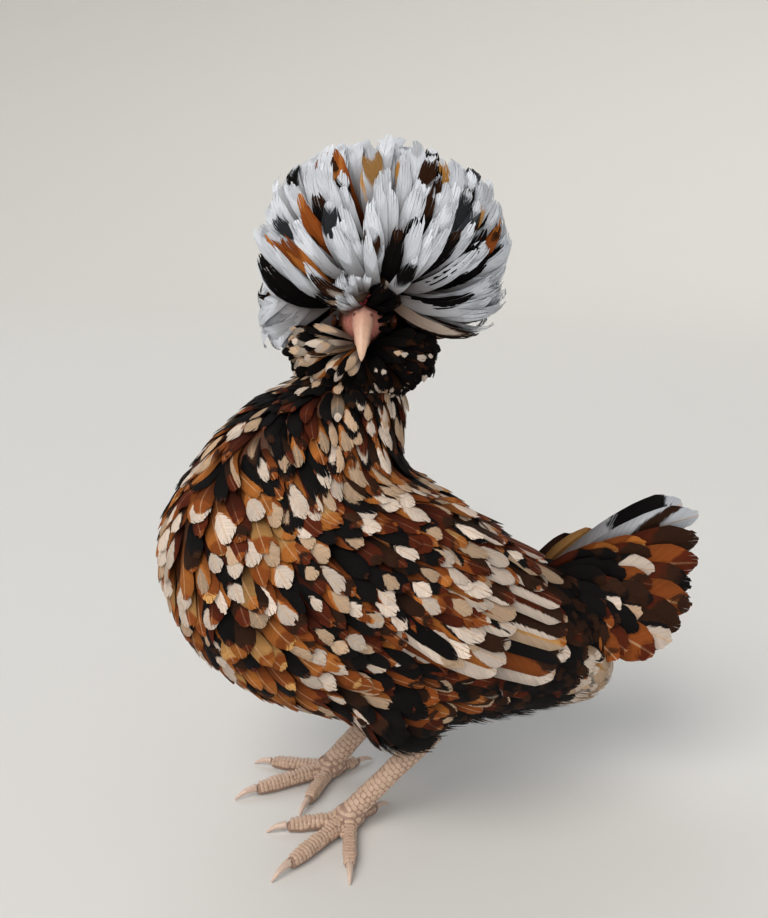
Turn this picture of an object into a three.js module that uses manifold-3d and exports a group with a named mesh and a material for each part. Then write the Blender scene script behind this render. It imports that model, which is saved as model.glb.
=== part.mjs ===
// A life-size polish crested hen, standing, with her head turned to her left.
// Millimetres, +Z up. She faces -Y and her left side is +X.
import * as THREE from "three";
import { mergeVertices } from "three/addons/utils/BufferGeometryUtils.js";
import Module from "manifold-3d";

const wasm = await Module();
wasm.setup();
const { Manifold } = wasm;

// Driving dimensions
const seam = 0.35; // open gap between neighbouring pieces
const sides = { left: 1, right: -1 };

// The trunk's outline, from the breast to the fluff under the tail
const trunk = [
  { at: -97, top: 151, bottom: 145, half: 2 },
  { at: -90, top: 178, bottom: 116, half: 30 },
  { at: -70, top: 201, bottom: 88, half: 51 },
  { at: -38, top: 211, bottom: 66, half: 65 },
  { at: 5, top: 206, bottom: 54, half: 71 },
  { at: 45, top: 184, bottom: 48, half: 69 },
  { at: 85, top: 156, bottom: 46, half: 58 },
  { at: 122, top: 130, bottom: 47, half: 41 },
  { at: 150, top: 98, bottom: 51, half: 25 },
  { at: 165, top: 72, bottom: 62, half: 3 },
];
const widestHeight = 0.46; // of the trunk's depth, where its sections are widest

// The neck's level sections, from inside the trunk up to the skull
const neckLevels = [
  { z: 150, x: 0, y: -22, wide: 64, deep: 56 },
  { z: 203, x: 0, y: -22, wide: 50, deep: 52 },
  { z: 226, x: 0, y: -8, wide: 32, deep: 42 },
  { z: 240, x: 1, y: 2, wide: 20, deep: 26 },
  { z: 264, x: 2, y: 6, wide: 12, deep: 15 },
];

// The head's own frame: it looks to the hen's left, a little forward and down
const headCentre = new THREE.Vector3(6, 6, 268);
const headTurn = THREE.MathUtils.degToRad(76);
const headPitch = THREE.MathUtils.degToRad(-10);
const eye = { radius: 4.7, forward: 2, out: 12.8, up: 0 };
const skull = { radii: [22, 15.5, 15], back: 1, up: 0 };
const knob = { radii: [10, 9, 10], forward: 3, up: 13 };

const upperBeak = [
  { at: 10, top: 9, bottom: -3, half: 5.5 },
  { at: 19, top: 9.5, bottom: -3.4, half: 6.2 },
  { at: 27, top: 6, bottom: -4.6, half: 5 },
  { at: 33, top: 0.5, bottom: -6.8, half: 3.6 },
  { at: 37, top: -5.5, bottom: -9.5, half: 2.2 },
  { at: 38.5, top: -9.4, bottom: -11, half: 0.8 },
];
const lowerBeak = [
  { at: 10, top: -2, bottom: -8, half: 4.6 },
  { at: 20, top: -2.6, bottom: -8.6, half: 4.9 },
  { at: 28, top: -3.8, bottom: -8.8, half: 3.6 },
  { at: 33, top: -5.8, bottom: -9, half: 1.8 },
];
const nostril = { at: 20, out: 5.8, up: 5.4, radii: [2.6, 1.8, 1.2] };
const nostrilRim = { at: 19.5, out: 3.4, up: 5, radii: [4.8, 2.9, 3.5] };
const lid = { radius: 4.9, thick: 1.15, out: 14.2 };
const comb = { at: 15, out: 1.2, up: 10.5, tall: 6, radius: 2.2, splay: 0.5 };

// The crest's globe and the beard's, each seen from the head: forward, left and up.
// Their feathers flow away from a pole by the beak, and hang down where sag says.
const crest = {
  centre: [-7, 8, 33],
  front: 34,
  back: 52,
  wide: 62,
  tall: 50,
  poleDown: 36,
  rings: [5, 34, 63, 92, 122, 156],
  reach: 48,
  spacing: 20,
  half: 10.6,
  core: 0.5,
  root: 0.46,
  sag: 1.6,
};
const beard = {
  centre: [3, 0, -17],
  front: 26,
  back: 24,
  wide: 38,
  tall: 25,
  poleDown: -10,
  rings: [25, 65],
  reach: 46,
  spacing: 12.5,
  half: 6.7,
  core: 0.6,
  root: 0.5,
  sag: 0.5,
};
const eyeHollow = { centre: [9, 21, 0], radii: [16, 10, 7.5] };

// A feather's half width from root to tip, and where along it its cross-sections lie
const featherStops = [0, 0.25, 0.6, 0.88];
const featherShape = [0.1, 0.35, 1, 0.8];
const featherThickness = 0.6;
const shingleTilt = { globe: 16, wing: 12 }; // degrees, so that each vane's edge lies over the next one's

// Tail: its feathers spread from one place inside the root, in two planes like a roof
const tailRoot = { y: 124, z: 111, radii: [17, 34, 27] };
const tailApex = { x: 2, y: 100, z: 111 };
const tailTilt = { ridge: 38, below: 12 }; // degrees that each vane's lower edge stands out
const tailTiers = [
  { count: 7, top: 29, bottom: -14, from: 18, longest: 116, shortest: 84, half: 13, lift: 0 },
  { count: 5, top: 33, bottom: -8, from: 14, longest: 76, shortest: 56, half: 12, lift: 4 },
];
const tailYaw = { top: 2.5, bottom: 19 };

// Wings: u runs back and down along the feathers' lie, and v up across it
const wingCentre = { y: 28, z: 150, lie: -24 };
const wingPad = [
  [-77, -14], [-70, 8], [-50, 24], [-14, 34], [20, 26], [44, 12], [50, -14], [20, -28], [-16, -31], [-50, -27],
];
const wingDepth = { pad: 4.6, root: 2.6, tip: 9 };
// Rows of wing feathers, the flight feathers first and the coverts over them
const wingRows = [
  { count: 7, root: 4, tip: 88, shrink: 45, low: -26, high: 26, tipLow: -21, tipHigh: 17, half: 8.2 },
  { count: 6, root: -20, tip: 34, shrink: 14, low: -28, high: 30, tipLow: -27, tipHigh: 27, half: 8.8 },
  { count: 6, root: -42, tip: 8, shrink: 14, low: -28, high: 33, tipLow: -28, tipHigh: 33, half: 9 },
  { count: 5, root: -62, tip: -16, shrink: 20, low: -22, high: 28, tipLow: -25, tipHigh: 31, half: 9.6 },
];

// Legs and feet
const hip = { x: 42, y: 18, z: 96 };
const hock = { x: 29, y: 41, z: 50 };
const ball = { x: 25, y: 0, z: 8 };
const stanceShift = 5; // both feet stand this far to the hen's left of her middle
const shankRadius = 5.6;
const footTurn = { left: 38, right: -14 }; // degrees outward from straight ahead
const toes = {
  middle: { turn: 0, length: 46, radius: 4.7, claw: 13 },
  inner: { turn: -42, length: 33, radius: 4.3, claw: 11 },
  outer: { turn: 40, length: 36, radius: 4.2, claw: 11 },
  hind: { turn: 172, length: 20, radius: 3.6, claw: 10 },
};

const vector = (x, y, z) => new THREE.Vector3(x, y, z);
const radians = THREE.MathUtils.degToRad;

// One key of a row of stations, smoothly, at any place along it
function along(stations, key, place) {
  const last = stations.length - 1;
  let i = 0;
  while (i < last - 1 && stations[i + 1].at < place) i += 1;
  const slope = (k) => {
    const a = stations[Math.max(k - 1, 0)];
    const b = stations[Math.min(k + 1, last)];
    return (b[key] - a[key]) / (b.at - a.at);
  };
  const a = stations[i];
  const b = stations[i + 1];
  const run = b.at - a.at;
  const t = THREE.MathUtils.clamp((place - a.at) / run, 0, 1);
  const t2 = t * t;
  const t3 = t2 * t;
  return (
    (2 * t3 - 3 * t2 + 1) * a[key] +
    (t3 - 2 * t2 + t) * run * slope(i) +
    (3 * t2 - 2 * t3) * b[key] +
    (t3 - t2) * run * slope(i + 1)
  );
}

// A closed surface over rings of points, with a fan on each end. From flipFrom round to
// the ring's start the faces are split the other way, as a thin blade's second face has to be.
function skinOver(rings, { flipFrom = Infinity, tip = null } = {}) {
  const around = rings[0].length;
  const points = rings.flat();
  const middle = (ring) => ring.reduce((sum, p) => sum.add(p), vector(0, 0, 0)).divideScalar(around);
  const first = points.push(middle(rings[0])) - 1;
  const final = points.push(tip ?? middle(rings[rings.length - 1])) - 1;
  const faces = [];
  for (let j = 0; j < around; j += 1) {
    const k = (j + 1) % around;
    for (let i = 0; i + 1 < rings.length; i += 1) {
      const a = i * around + j;
      const b = i * around + k;
      if (j < flipFrom) faces.push(a, b, a + around, b, b + around, a + around);
      else faces.push(a, b, b + around, a, b + around, a + around);
    }
    const end = (rings.length - 1) * around;
    faces.push(first, k, j, final, end + j, end + k);
  }
  const geometry = new THREE.BufferGeometry().setFromPoints(points);
  geometry.setIndex(faces);
  return outward(geometry);
}

// The same surface with its faces pointing out
function outward(geometry) {
  const p = geometry.getAttribute("position");
  const index = geometry.index.array;
  const corner = (i) => vector(p.getX(index[i]), p.getY(index[i]), p.getZ(index[i]));
  let volume = 0;
  for (let i = 0; i < index.length; i += 3) {
    volume += corner(i).dot(corner(i + 1).cross(corner(i + 2)));
  }
  if (volume < 0) {
    for (let i = 0; i < index.length; i += 3) [index[i + 1], index[i + 2]] = [index[i + 2], index[i + 1]];
  }
  return geometry;
}

// Only the points and faces of a geometry, with the points that lie together made one
function welded(geometry) {
  const bare = geometry.clone();
  bare.deleteAttribute("normal");
  bare.deleteAttribute("uv");
  return mergeVertices(bare, 1e-3);
}

// A geometry as a solid, its surface moved out by grow
function solidOf(geometry, grow = 0) {
  const merged = welded(geometry);
  const position = merged.getAttribute("position");
  if (grow) {
    merged.computeVertexNormals();
    const normal = merged.getAttribute("normal");
    for (let i = 0; i < position.count; i += 1) {
      position.setXYZ(
        i,
        position.getX(i) + grow * normal.getX(i),
        position.getY(i) + grow * normal.getY(i),
        position.getZ(i) + grow * normal.getZ(i),
      );
    }
  }
  return new Manifold(
    new wasm.Mesh({
      numProp: 3,
      vertProperties: new Float32Array(position.array),
      triVerts: new Uint32Array(merged.index.array),
    }),
  );
}

const largest = (solid) => solid.decompose().sort((a, b) => b.volume() - a.volume())[0];
const cutBy = (solid, ...others) => largest(others.reduce((rest, other) => rest.subtract(other), solid));

function ellipsoid(centre, radii, segments = [16, 10]) {
  const geometry = new THREE.SphereGeometry(1, segments[0], segments[1]);
  return geometry.scale(...radii).translate(...centre);
}

// A closed hull over stations along one axis, with sections between top and bottom
function hull(stations, steps, around, middle = 0.5) {
  const first = stations[0].at;
  const run = stations[stations.length - 1].at - first;
  const rings = [];
  for (let i = 0; i <= steps; i += 1) {
    const place = first + (run * (1 - Math.cos((Math.PI * i) / steps))) / 2;
    const top = along(stations, "top", place);
    const bottom = along(stations, "bottom", place);
    const half = along(stations, "half", place);
    const level = bottom + middle * (top - bottom);
    const ring = [];
    for (let j = 0; j < around; j += 1) {
      const angle = (2 * Math.PI * j) / around;
      const rise = Math.cos(angle);
      ring.push(vector(half * Math.sin(angle), place, level + rise * (rise > 0 ? top - level : level - bottom)));
    }
    rings.push(ring);
  }
  return skinOver(rings);
}

// A closed tube through points, thicker and thinner as radii says
function tube(points, radii, steps, around) {
  const path = new THREE.CatmullRomCurve3(points);
  const width = new THREE.SplineCurve(radii.map((r, i) => new THREE.Vector2(i / (radii.length - 1), r)));
  const rings = [];
  for (let i = 0; i <= steps; i += 1) {
    const t = i / steps;
    const ahead = path.getTangent(t);
    const side = vector(0, 0, 1).cross(ahead).normalize();
    if (side.lengthSq() < 0.5) side.set(1, 0, 0);
    const over = ahead.clone().cross(side);
    const radius = width.getPoint(t).y;
    const ring = [];
    for (let j = 0; j < around; j += 1) {
      const angle = (2 * Math.PI * j) / around;
      ring.push(
        path.getPoint(t).addScaledVector(side, radius * Math.cos(angle)).addScaledVector(over, radius * Math.sin(angle)),
      );
    }
    rings.push(ring);
  }
  return skinOver(rings);
}

// One feather: a thin blade along a path. The path gives a point and the way out of the
// coat there; half is the blade's half width and tilt its turn about its own length.
function blade(path, half, tilt, stops = featherStops, shape = featherShape) {
  const step = 0.01;
  const rings = stops.map((stop, i) => {
    const { point, out } = path(stop);
    const ahead = path(stop + step).point.sub(path(stop - step).point).normalize();
    const side = ahead.clone().cross(out).normalize().applyAxisAngle(ahead, -radians(tilt));
    const up = side.clone().cross(ahead);
    const reach = half * shape[i];
    return [
      [-1, 1],
      [1, 1],
      [1, -1],
      [-1, -1],
    ].map(([a, b]) =>
      point
        .clone()
        .addScaledVector(side, a * reach)
        .addScaledVector(up, (b * featherThickness) / 2),
    );
  });
  return skinOver(rings, { flipFrom: 2, tip: path(1).point });
}

const mirrored = (geometry) => outward(welded(geometry).scale(-1, 1, 1));

// Repeatable small differences between like feathers
let seed = 7;
function vary(amount) {
  seed = (seed * 16807) % 2147483647;
  return amount * ((2 * seed) / 2147483647 - 1);
}

// Body
const trunkForm = hull(trunk, 15, 18, widestHeight);
const trunkSolid = (grow = 0) => solidOf(trunkForm, grow);

function neckForm() {
  const around = 16;
  const rings = neckLevels.map((level) => {
    const ring = [];
    for (let j = 0; j < around; j += 1) {
      const angle = (2 * Math.PI * j) / around;
      ring.push(vector(level.x + level.wide * Math.sin(angle), level.y - level.deep * Math.cos(angle), level.z));
    }
    return ring;
  });
  return skinOver(rings);
}

// Head: its parts are made facing forward along +Y in the head's frame, then turned
const headFrame = new THREE.Matrix4()
  .makeTranslation(headCentre)
  .multiply(new THREE.Matrix4().makeRotationZ(headTurn + Math.PI))
  .multiply(new THREE.Matrix4().makeRotationX(headPitch));
// From forward, left, up to the head's axes
const fromHead = ([forward, left, up]) => vector(-left, forward, up);
const placed = (geometry) => geometry.applyMatrix4(headFrame);
const headEllipsoid = (centre, [long, wide, tall], segments) =>
  placed(ellipsoid(fromHead(centre).toArray(), [wide, long, tall], segments));

function lidForm(side) {
  const ring = new THREE.TorusGeometry(lid.radius, lid.thick, 4, 9).scale(1, 0.82, 1).rotateY(Math.PI / 2);
  return placed(ring.translate(...fromHead([eye.forward, side * lid.out, eye.up])));
}

function headSolid(grow = 0) {
  return Manifold.union([
    ...Object.values(sides).map((side) => solidOf(lidForm(side), grow)),
    solidOf(headEllipsoid([-skull.back, 0, skull.up], skull.radii, [10, 7]), grow),
    solidOf(headEllipsoid([knob.forward, 0, knob.up], knob.radii, [8, 5]), grow),
  ]);
}

const eyeSolid = (side, grow = 0) =>
  solidOf(headEllipsoid([eye.forward, side * eye.out, eye.up], Array(3).fill(eye.radius), [10, 7]), grow);
const beakSolid = (stations, grow = 0) => solidOf(placed(hull(stations, 6, 8)), grow);

function nostrilSolids({ at, out, up, radii }, grow = 0) {
  const forms = Object.values(sides).map((side) => headEllipsoid([at, side * out, up], radii, [8, 5]));
  return Manifold.union(forms.map((form) => solidOf(form, grow)));
}

// A place in a globe of feathers, out along a direction in the head's axes
function onGlobe({ centre, front, back, wide, tall }, way, share) {
  const reach = vector(wide, way.y > 0 ? front : back, tall);
  return fromHead(centre).addScaledVector(way.clone().multiply(reach), share);
}

function globe(form, share = 1, segments = [20, 14]) {
  const geometry = new THREE.SphereGeometry(1, ...segments);
  const position = geometry.getAttribute("position");
  for (let i = 0; i < position.count; i += 1) {
    position.setXYZ(i, ...onGlobe(form, vector().fromBufferAttribute(position, i), share));
  }
  return placed(geometry);
}

// Rings of feathers on a globe, each flowing away from the pole and then hanging down
function plumage(form, keeps) {
  const down = radians(form.poleDown);
  const pole = vector(0, Math.cos(down), -Math.sin(down));
  const crown = vector(0, Math.sin(down), Math.cos(down));
  const size = (form.wide + form.tall) / 2;
  const solids = [solidOf(globe(form, form.core))];
  for (const ring of form.rings) {
    const polar = radians(ring);
    const reach = radians(form.reach);
    // Behind, where they hang across their ring, they stand further apart
    const behind = THREE.MathUtils.smoothstep(ring, 60, 140);
    const girth = 2 * Math.PI * size * Math.sin(Math.min(polar + reach / 2, 2.7));
    const count = Math.round(girth / (form.spacing * (1 + 0.5 * behind)));
    for (let j = 0; j < count; j += 1) {
      const turn = (2 * Math.PI * (j + 0.5 * (form.rings.indexOf(ring) % 2))) / count;
      const aside = crown.clone().multiplyScalar(Math.cos(turn)).add(vector(Math.sin(turn), 0, 0));
      const root = pole.clone().multiplyScalar(Math.cos(polar)).addScaledVector(aside, Math.sin(polar));
      const away = aside.clone().multiplyScalar(Math.cos(polar)).addScaledVector(pole, -Math.sin(polar));
      const hang = vector(0, 0, -1).addScaledVector(root, root.z);
      const flow = away.addScaledVector(hang, form.sag * behind).normalize();
      const length = reach * (1 + vary(0.07));
      const path = (s) => {
        const way = root.clone().multiplyScalar(Math.cos(length * s)).addScaledVector(flow, Math.sin(length * s));
        const share = form.root + (1 - form.root) * (1 - Math.abs(1 - s) ** 2);
        return { point: onGlobe(form, way, share), out: way };
      };
      const tilt = shingleTilt.globe * (root.x < 0 ? 1 : -1);
      if (keeps(path(1).point, path(0.6).point)) solids.push(solidOf(placed(blade(path, form.half, tilt))));
    }
  }
  return Manifold.union(solids);
}

// The face stays free between the crest and the beard; only the crest's sides hang past it
const inCrest = (tip) => tip.z > 3 || (Math.abs(tip.x) > 31 && tip.z > -16) || (tip.y < -20 && tip.z > -16);
const inBeard = (tip, middle) => tip.z < 4 && middle.z < 6 && tip.y > -20;

function combSolid(grow = 0) {
  const prongs = Object.values(sides).map((side) => {
    const { at, out, up, tall, radius, splay } = comb;
    const foot = vector(...fromHead([at - 2, side * out, up - 3]));
    const tip = vector(...fromHead([at + 1, side * (out + splay * tall), up + tall]));
    return solidOf(placed(tube([foot, foot.clone().lerp(tip, 0.5), tip], [radius, radius * 1.15, radius * 0.5], 4, 6)), grow);
  });
  return Manifold.union(prongs);
}

const hollowSolid = (side) => {
  const [forward, out, up] = eyeHollow.centre;
  return solidOf(headEllipsoid([forward, side * out, up], eyeHollow.radii, [12, 8]));
};

// Where a tail feather on the left runs: out from the apex at an elevation, in degrees
function tailPlace(distance, elevation) {
  const { top, bottom } = tailTiers[0];
  const yaw = radians(THREE.MathUtils.mapLinear(elevation, top, bottom, tailYaw.top, tailYaw.bottom));
  const rise = radians(elevation);
  const ahead = vector(Math.sin(yaw) * Math.cos(rise), Math.cos(yaw) * Math.cos(rise), Math.sin(rise));
  return vector(tailApex.x, tailApex.y, tailApex.z).addScaledVector(ahead, distance);
}

const tailRootForm = ellipsoid([0, tailRoot.y, tailRoot.z], tailRoot.radii, [12, 8]);

function tailSolid() {
  const solids = [solidOf(tailRootForm)];
  for (const tier of tailTiers) {
    for (let k = 0; k < tier.count; k += 1) {
      const share = k / (tier.count - 1);
      const rise = THREE.MathUtils.lerp(tier.top, tier.bottom, share);
      const length = THREE.MathUtils.lerp(tier.longest, tier.shortest, share) * (1 + vary(0.02)) - tier.from;
      const path = (s) => {
        const distance = tier.from + length * s;
        const bent = rise - 4 * s * s;
        const along = tailPlace(distance + 1, bent).sub(tailPlace(distance - 1, bent));
        const across = tailPlace(distance, bent - 1).sub(tailPlace(distance, bent + 1));
        const out = across.cross(along).normalize();
        return { point: tailPlace(distance, bent).addScaledVector(out, tier.lift * Math.sqrt(Math.abs(s))), out };
      };
      const tilt = THREE.MathUtils.lerp(tailTilt.ridge, tailTilt.below, Math.min(2 * share, 1));
      const feather = blade(path, tier.half, tilt);
      solids.push(solidOf(feather), solidOf(mirrored(feather)));
    }
  }
  return Manifold.union(solids);
}

// The left flank's surface at a height, moved out by depth
function onFlank(y, z, depth) {
  const surface = (place, height) => {
    const [top, bottom, half] = ["top", "bottom", "half"].map((key) => along(trunk, key, place));
    const level = bottom + widestHeight * (top - bottom);
    const rise = (height - level) / (height > level ? top - level : level - bottom);
    return vector(half * Math.sqrt(Math.max(1 - rise * rise, 0.02)), place, height);
  };
  const back = surface(y + 1, z).sub(surface(y - 1, z));
  const out = back.cross(surface(y, z + 1).sub(surface(y, z - 1))).normalize();
  return { point: surface(y, z).addScaledVector(out, depth), out };
}

// A place in the wing's own plane, as the body's y and z
function fromWing(u, v) {
  const lie = radians(wingCentre.lie);
  return [
    wingCentre.y + u * Math.cos(lie) - v * Math.sin(lie),
    wingCentre.z + u * Math.sin(lie) + v * Math.cos(lie),
  ];
}

function wingForms() {
  const { lerp } = THREE.MathUtils;
  const feathers = [];
  for (const row of wingRows) {
    for (let k = 0; k < row.count; k += 1) {
      const share = k / (row.count - 1);
      const tip = row.tip - row.shrink * (share - 0.25) ** 2 + vary(1.5);
      const path = (s) => {
        const v = lerp(lerp(row.low, row.high, share), lerp(row.tipLow, row.tipHigh, share), s);
        return onFlank(...fromWing(lerp(row.root, tip, s), v), lerp(wingDepth.root, wingDepth.tip, s));
      };
      feathers.push(blade(path, row.half, -shingleTilt.wing));
    }
  }
  return feathers;
}

function wingSolid(side) {
  const outline = new THREE.Shape(wingPad.map(([u, v]) => new THREE.Vector2(...fromWing(u, v))));
  const block = new THREE.ExtrudeGeometry(outline, { depth: 80, bevelEnabled: false, curveSegments: 1 });
  // The outline is drawn in Y and Z and drawn out along X
  const stand = new THREE.Matrix4().set(0, 0, 1, 18, 1, 0, 0, 0, 0, 1, 0, 0, 0, 0, 0, 1);
  const forms = [block.applyMatrix4(stand), ...wingForms()];
  const [prism, ...feathers] = forms.map((form) => solidOf(side > 0 ? form : mirrored(form)));
  return Manifold.union([trunkSolid(wingDepth.pad).intersect(prism), ...feathers]);
}

// Legs
function thighSolid(side, grow = 0) {
  const from = vector(side * hip.x, hip.y, hip.z);
  const to = vector(side * hock.x + stanceShift, hock.y, hock.z);
  const knee = from.clone().lerp(to, 0.5).add(vector(side * 2, -6, 0));
  return solidOf(tube([from, knee, to], [20, 27, 11], 5, 10), grow);
}

function shankSolid(side, grow = 0) {
  const top = vector(side * hock.x + stanceShift, hock.y + 3, hock.z + 4);
  const bottom = vector(side * ball.x + stanceShift, ball.y, ball.z);
  const middle = top.clone().lerp(bottom, 0.5);
  const pad = ellipsoid([bottom.x, bottom.y, bottom.z - 1.5], [8.2, 8.6, 7.5], [10, 7]);
  return Manifold.union([
    solidOf(tube([top, middle, bottom], [shankRadius * 1.15, shankRadius, shankRadius * 1.1], 4, 9), grow),
    solidOf(pad, grow),
  ]);
}

const floorBlock = solidOf(new THREE.BoxGeometry(400, 400, 60).translate(0, 0, -30));

function toeParts(sideName, toe) {
  const side = sides[sideName];
  const turn = radians(side * (footTurn[sideName] + toe.turn));
  const ahead = vector(Math.sin(turn), -Math.cos(turn), 0);
  const point = (distance, height) =>
    vector(side * ball.x + stanceShift, ball.y, height).addScaledVector(ahead, distance);
  const { length, radius, claw } = toe;
  const start = 3;
  const toeForm = tube(
    [point(start, radius * 1.1), point(length * 0.5, radius * 0.92), point(length, radius * 0.72)],
    [radius, radius * 1.02, radius * 0.86, radius * 0.95, radius * 0.66],
    5,
    7,
  );
  const clawForm = tube(
    [
      point(length - 2, radius * 0.95),
      point(length + claw * 0.5, radius * 0.92),
      point(length + claw, 0.9),
    ],
    [radius * 0.5, radius * 0.38, 0.5],
    4,
    6,
  );
  return { toeForm, clawForm };
}

// Every piece, each cut clear of what it grows from
const bird = new THREE.Group();

function add(name, solid, colour, roughness = 0.8) {
  const { vertProperties, triVerts } = solid.getMesh();
  const geometry = new THREE.BufferGeometry();
  geometry.setAttribute("position", new THREE.BufferAttribute(vertProperties, 3));
  geometry.setIndex(new THREE.BufferAttribute(triVerts, 1));
  const mesh = new THREE.Mesh(geometry, new THREE.MeshStandardMaterial({ color: colour, roughness, metalness: 0 }));
  mesh.name = name;
  bird.add(mesh);
}

const colours = {
  gold: "#9a5a24",
  mottled: "#8a735c",
  white: "#d9d7d2",
  skin: "#c98f7d",
  horn: "#dcb29a",
  leg: "#9b9390",
  black: "#16110e",
  red: "#8e2a2c",
};

const trunkGrown = trunkSolid(seam);
const neckSolid = solidOf(neckForm());
const neckGrown = solidOf(neckForm(), seam);
const headGrown = headSolid(seam);
const eyesGrown = Object.values(sides).map((side) => eyeSolid(side, seam));
const upperGrown = beakSolid(upperBeak, seam).add(nostrilSolids(nostrilRim, seam));
const lowerGrown = beakSolid(lowerBeak, seam);
const combForm = combSolid();
const combGrown = combSolid(seam);
const faceGrown = [combGrown, headGrown, neckGrown, upperGrown, lowerGrown, ...eyesGrown];
const hollows = Object.values(sides).map(hollowSolid);
const tailSocket = solidOf(tailRootForm, seam);
const tailWhole = tailSolid();
const tailInside = trunkGrown.subtract(tailSocket);

add("torso", cutBy(trunkSolid(), tailSocket), colours.gold);
add("neck", cutBy(neckSolid, trunkGrown, headGrown, upperGrown, lowerGrown, ...eyesGrown), colours.mottled);
add("head", cutBy(headSolid(), ...eyesGrown), colours.skin);
add("comb", cutBy(combForm, headGrown, upperGrown), colours.red);
const upperWhole = beakSolid(upperBeak).add(nostrilSolids(nostrilRim));
add("upper_beak", cutBy(upperWhole, headGrown, nostrilSolids(nostril)), colours.horn, 0.4);
add("lower_beak", cutBy(beakSolid(lowerBeak), headGrown, upperGrown), colours.horn, 0.4);
const beardForm = plumage(beard, inBeard).intersect(solidOf(globe(beard)));
add("beard", cutBy(beardForm, ...faceGrown, ...hollows), colours.black);
add("crest", cutBy(plumage(crest, inCrest), ...faceGrown, ...hollows, solidOf(globe(beard), seam)), colours.white);
add("tail", cutBy(tailWhole, tailInside), colours.gold);

for (const [name, side] of Object.entries(sides)) {
  add(name + "_eye", eyeSolid(side), colours.black, 0.1);
  add(name + "_wing", cutBy(wingSolid(side), trunkGrown, neckGrown), colours.gold);
  const shankGrown = shankSolid(side, seam);
  add(name + "_thigh", cutBy(thighSolid(side), trunkGrown, shankGrown), colours.mottled);
  add(name + "_shank", cutBy(shankSolid(side), trunkGrown, floorBlock), colours.leg);
  const toesGrown = [];
  for (const [toeName, toe] of Object.entries(toes)) {
    const { toeForm, clawForm } = toeParts(name, toe);
    const toeSolid = cutBy(solidOf(toeForm), shankGrown, floorBlock, ...toesGrown);
    add(name + "_" + toeName + "_toe", toeSolid, colours.leg);
    toesGrown.push(solidOf(toeForm, seam));
    const clawSolid = cutBy(solidOf(clawForm), solidOf(toeForm, seam), floorBlock);
    add(name + "_" + toeName + "_claw", clawSolid, colours.horn, 0.4);
  }
}

// The origin is the middle of the hen's box, on the floor
const box = new THREE.Box3().setFromObject(bird);
const middle = box.getCenter(vector(0, 0, 0));
bird.position.set(-middle.x, -middle.y, -box.min.z);

export default bird;
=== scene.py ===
# A life-size polish crested hen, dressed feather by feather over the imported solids
import bmesh
import bpy
import math
import numpy as np
from mathutils import Matrix, Vector, noise
from mathutils.bvhtree import BVHTree


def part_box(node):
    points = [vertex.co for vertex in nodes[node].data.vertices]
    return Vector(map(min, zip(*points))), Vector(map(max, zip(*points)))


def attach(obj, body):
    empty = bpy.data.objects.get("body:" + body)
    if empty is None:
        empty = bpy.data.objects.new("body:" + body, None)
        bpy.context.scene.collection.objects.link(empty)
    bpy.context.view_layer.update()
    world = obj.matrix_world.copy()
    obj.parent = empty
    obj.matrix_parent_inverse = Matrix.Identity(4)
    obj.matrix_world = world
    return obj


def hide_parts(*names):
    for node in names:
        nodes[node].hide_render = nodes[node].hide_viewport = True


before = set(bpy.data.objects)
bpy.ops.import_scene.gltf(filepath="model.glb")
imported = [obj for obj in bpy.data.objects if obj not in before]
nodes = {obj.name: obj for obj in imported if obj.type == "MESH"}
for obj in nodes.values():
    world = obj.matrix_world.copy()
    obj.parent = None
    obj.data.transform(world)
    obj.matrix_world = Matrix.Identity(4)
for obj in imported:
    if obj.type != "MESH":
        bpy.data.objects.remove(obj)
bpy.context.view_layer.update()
mm = 0.001
sides = {"left": 1, "right": -1}
print("frame loaded")

# Places below are millimetres from the floor between the feet, with the breast at -97
breastAt = -97
origin = np.array([0.0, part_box("torso")[0].y - breastAt * mm, 0.0])


def place(points):
    return np.asarray(points, float) * mm + origin


def measured(points):
    p = (points - origin) / mm
    return p[..., 0], p[..., 1], p[..., 2]


def unit(vectors):
    return vectors / np.maximum(np.linalg.norm(vectors, axis=-1, keepdims=True), 1e-9)


def smooth(low, high, x):
    t = np.clip((np.asarray(x, float) - low) / (high - low), 0, 1)
    return t * t * (3 - 2 * t)


def blend(a, b, t):
    return a + (b - a) * t


def linear(hexColour):
    s = np.array([int(hexColour[i:i + 2], 16) for i in (0, 2, 4)]) / 255
    return np.where(s < 0.04045, s / 12.92, ((s + 0.055) / 1.055) ** 2.4)


def addNode(tree, kind, settings=None, **inputs):
    # A shader node's kind goes without its first words; a socket is named,
    # with _ for a space, or numbered as i0
    node = tree.nodes.new(kind if "Node" in kind else "ShaderNode" + kind)
    for name, value in (settings or {}).items():
        setattr(node, name, value)
    for name, value in inputs.items():
        socket = node.inputs[int(name[1:])] if name[1:].isdigit() else node.inputs[name.replace("_", " ")]
        if isinstance(value, bpy.types.NodeSocket):
            tree.links.new(value, socket)
        else:
            socket.default_value = value
    return node


def newMaterial(name, **finish):
    material = bpy.data.materials.new(name)
    material.use_nodes = True
    shader = material.node_tree.nodes["Principled BSDF"]
    for socket, value in finish.items():
        shader.inputs[socket.replace("_", " ")].default_value = value
    return material, material.node_tree, shader


def linked(name, data):
    thing = bpy.data.objects.new(name, data)
    bpy.context.scene.collection.objects.link(thing)
    return thing


def asObject(name, mesh, material):
    piece = linked(name, mesh)
    mesh.materials.clear()
    mesh.materials.append(material)
    return piece


def evaluated(piece):
    mesh = bpy.data.meshes.new_from_object(piece.evaluated_get(bpy.context.evaluated_depsgraph_get()))
    bpy.data.objects.remove(piece)
    return mesh


def meshFrom(name, shape):
    mesh = bpy.data.meshes.new(name)
    shape.to_mesh(mesh)
    shape.free()
    return mesh


def shadeSmooth(mesh):
    mesh.polygons.foreach_set("use_smooth", np.ones(len(mesh.polygons), bool))


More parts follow.
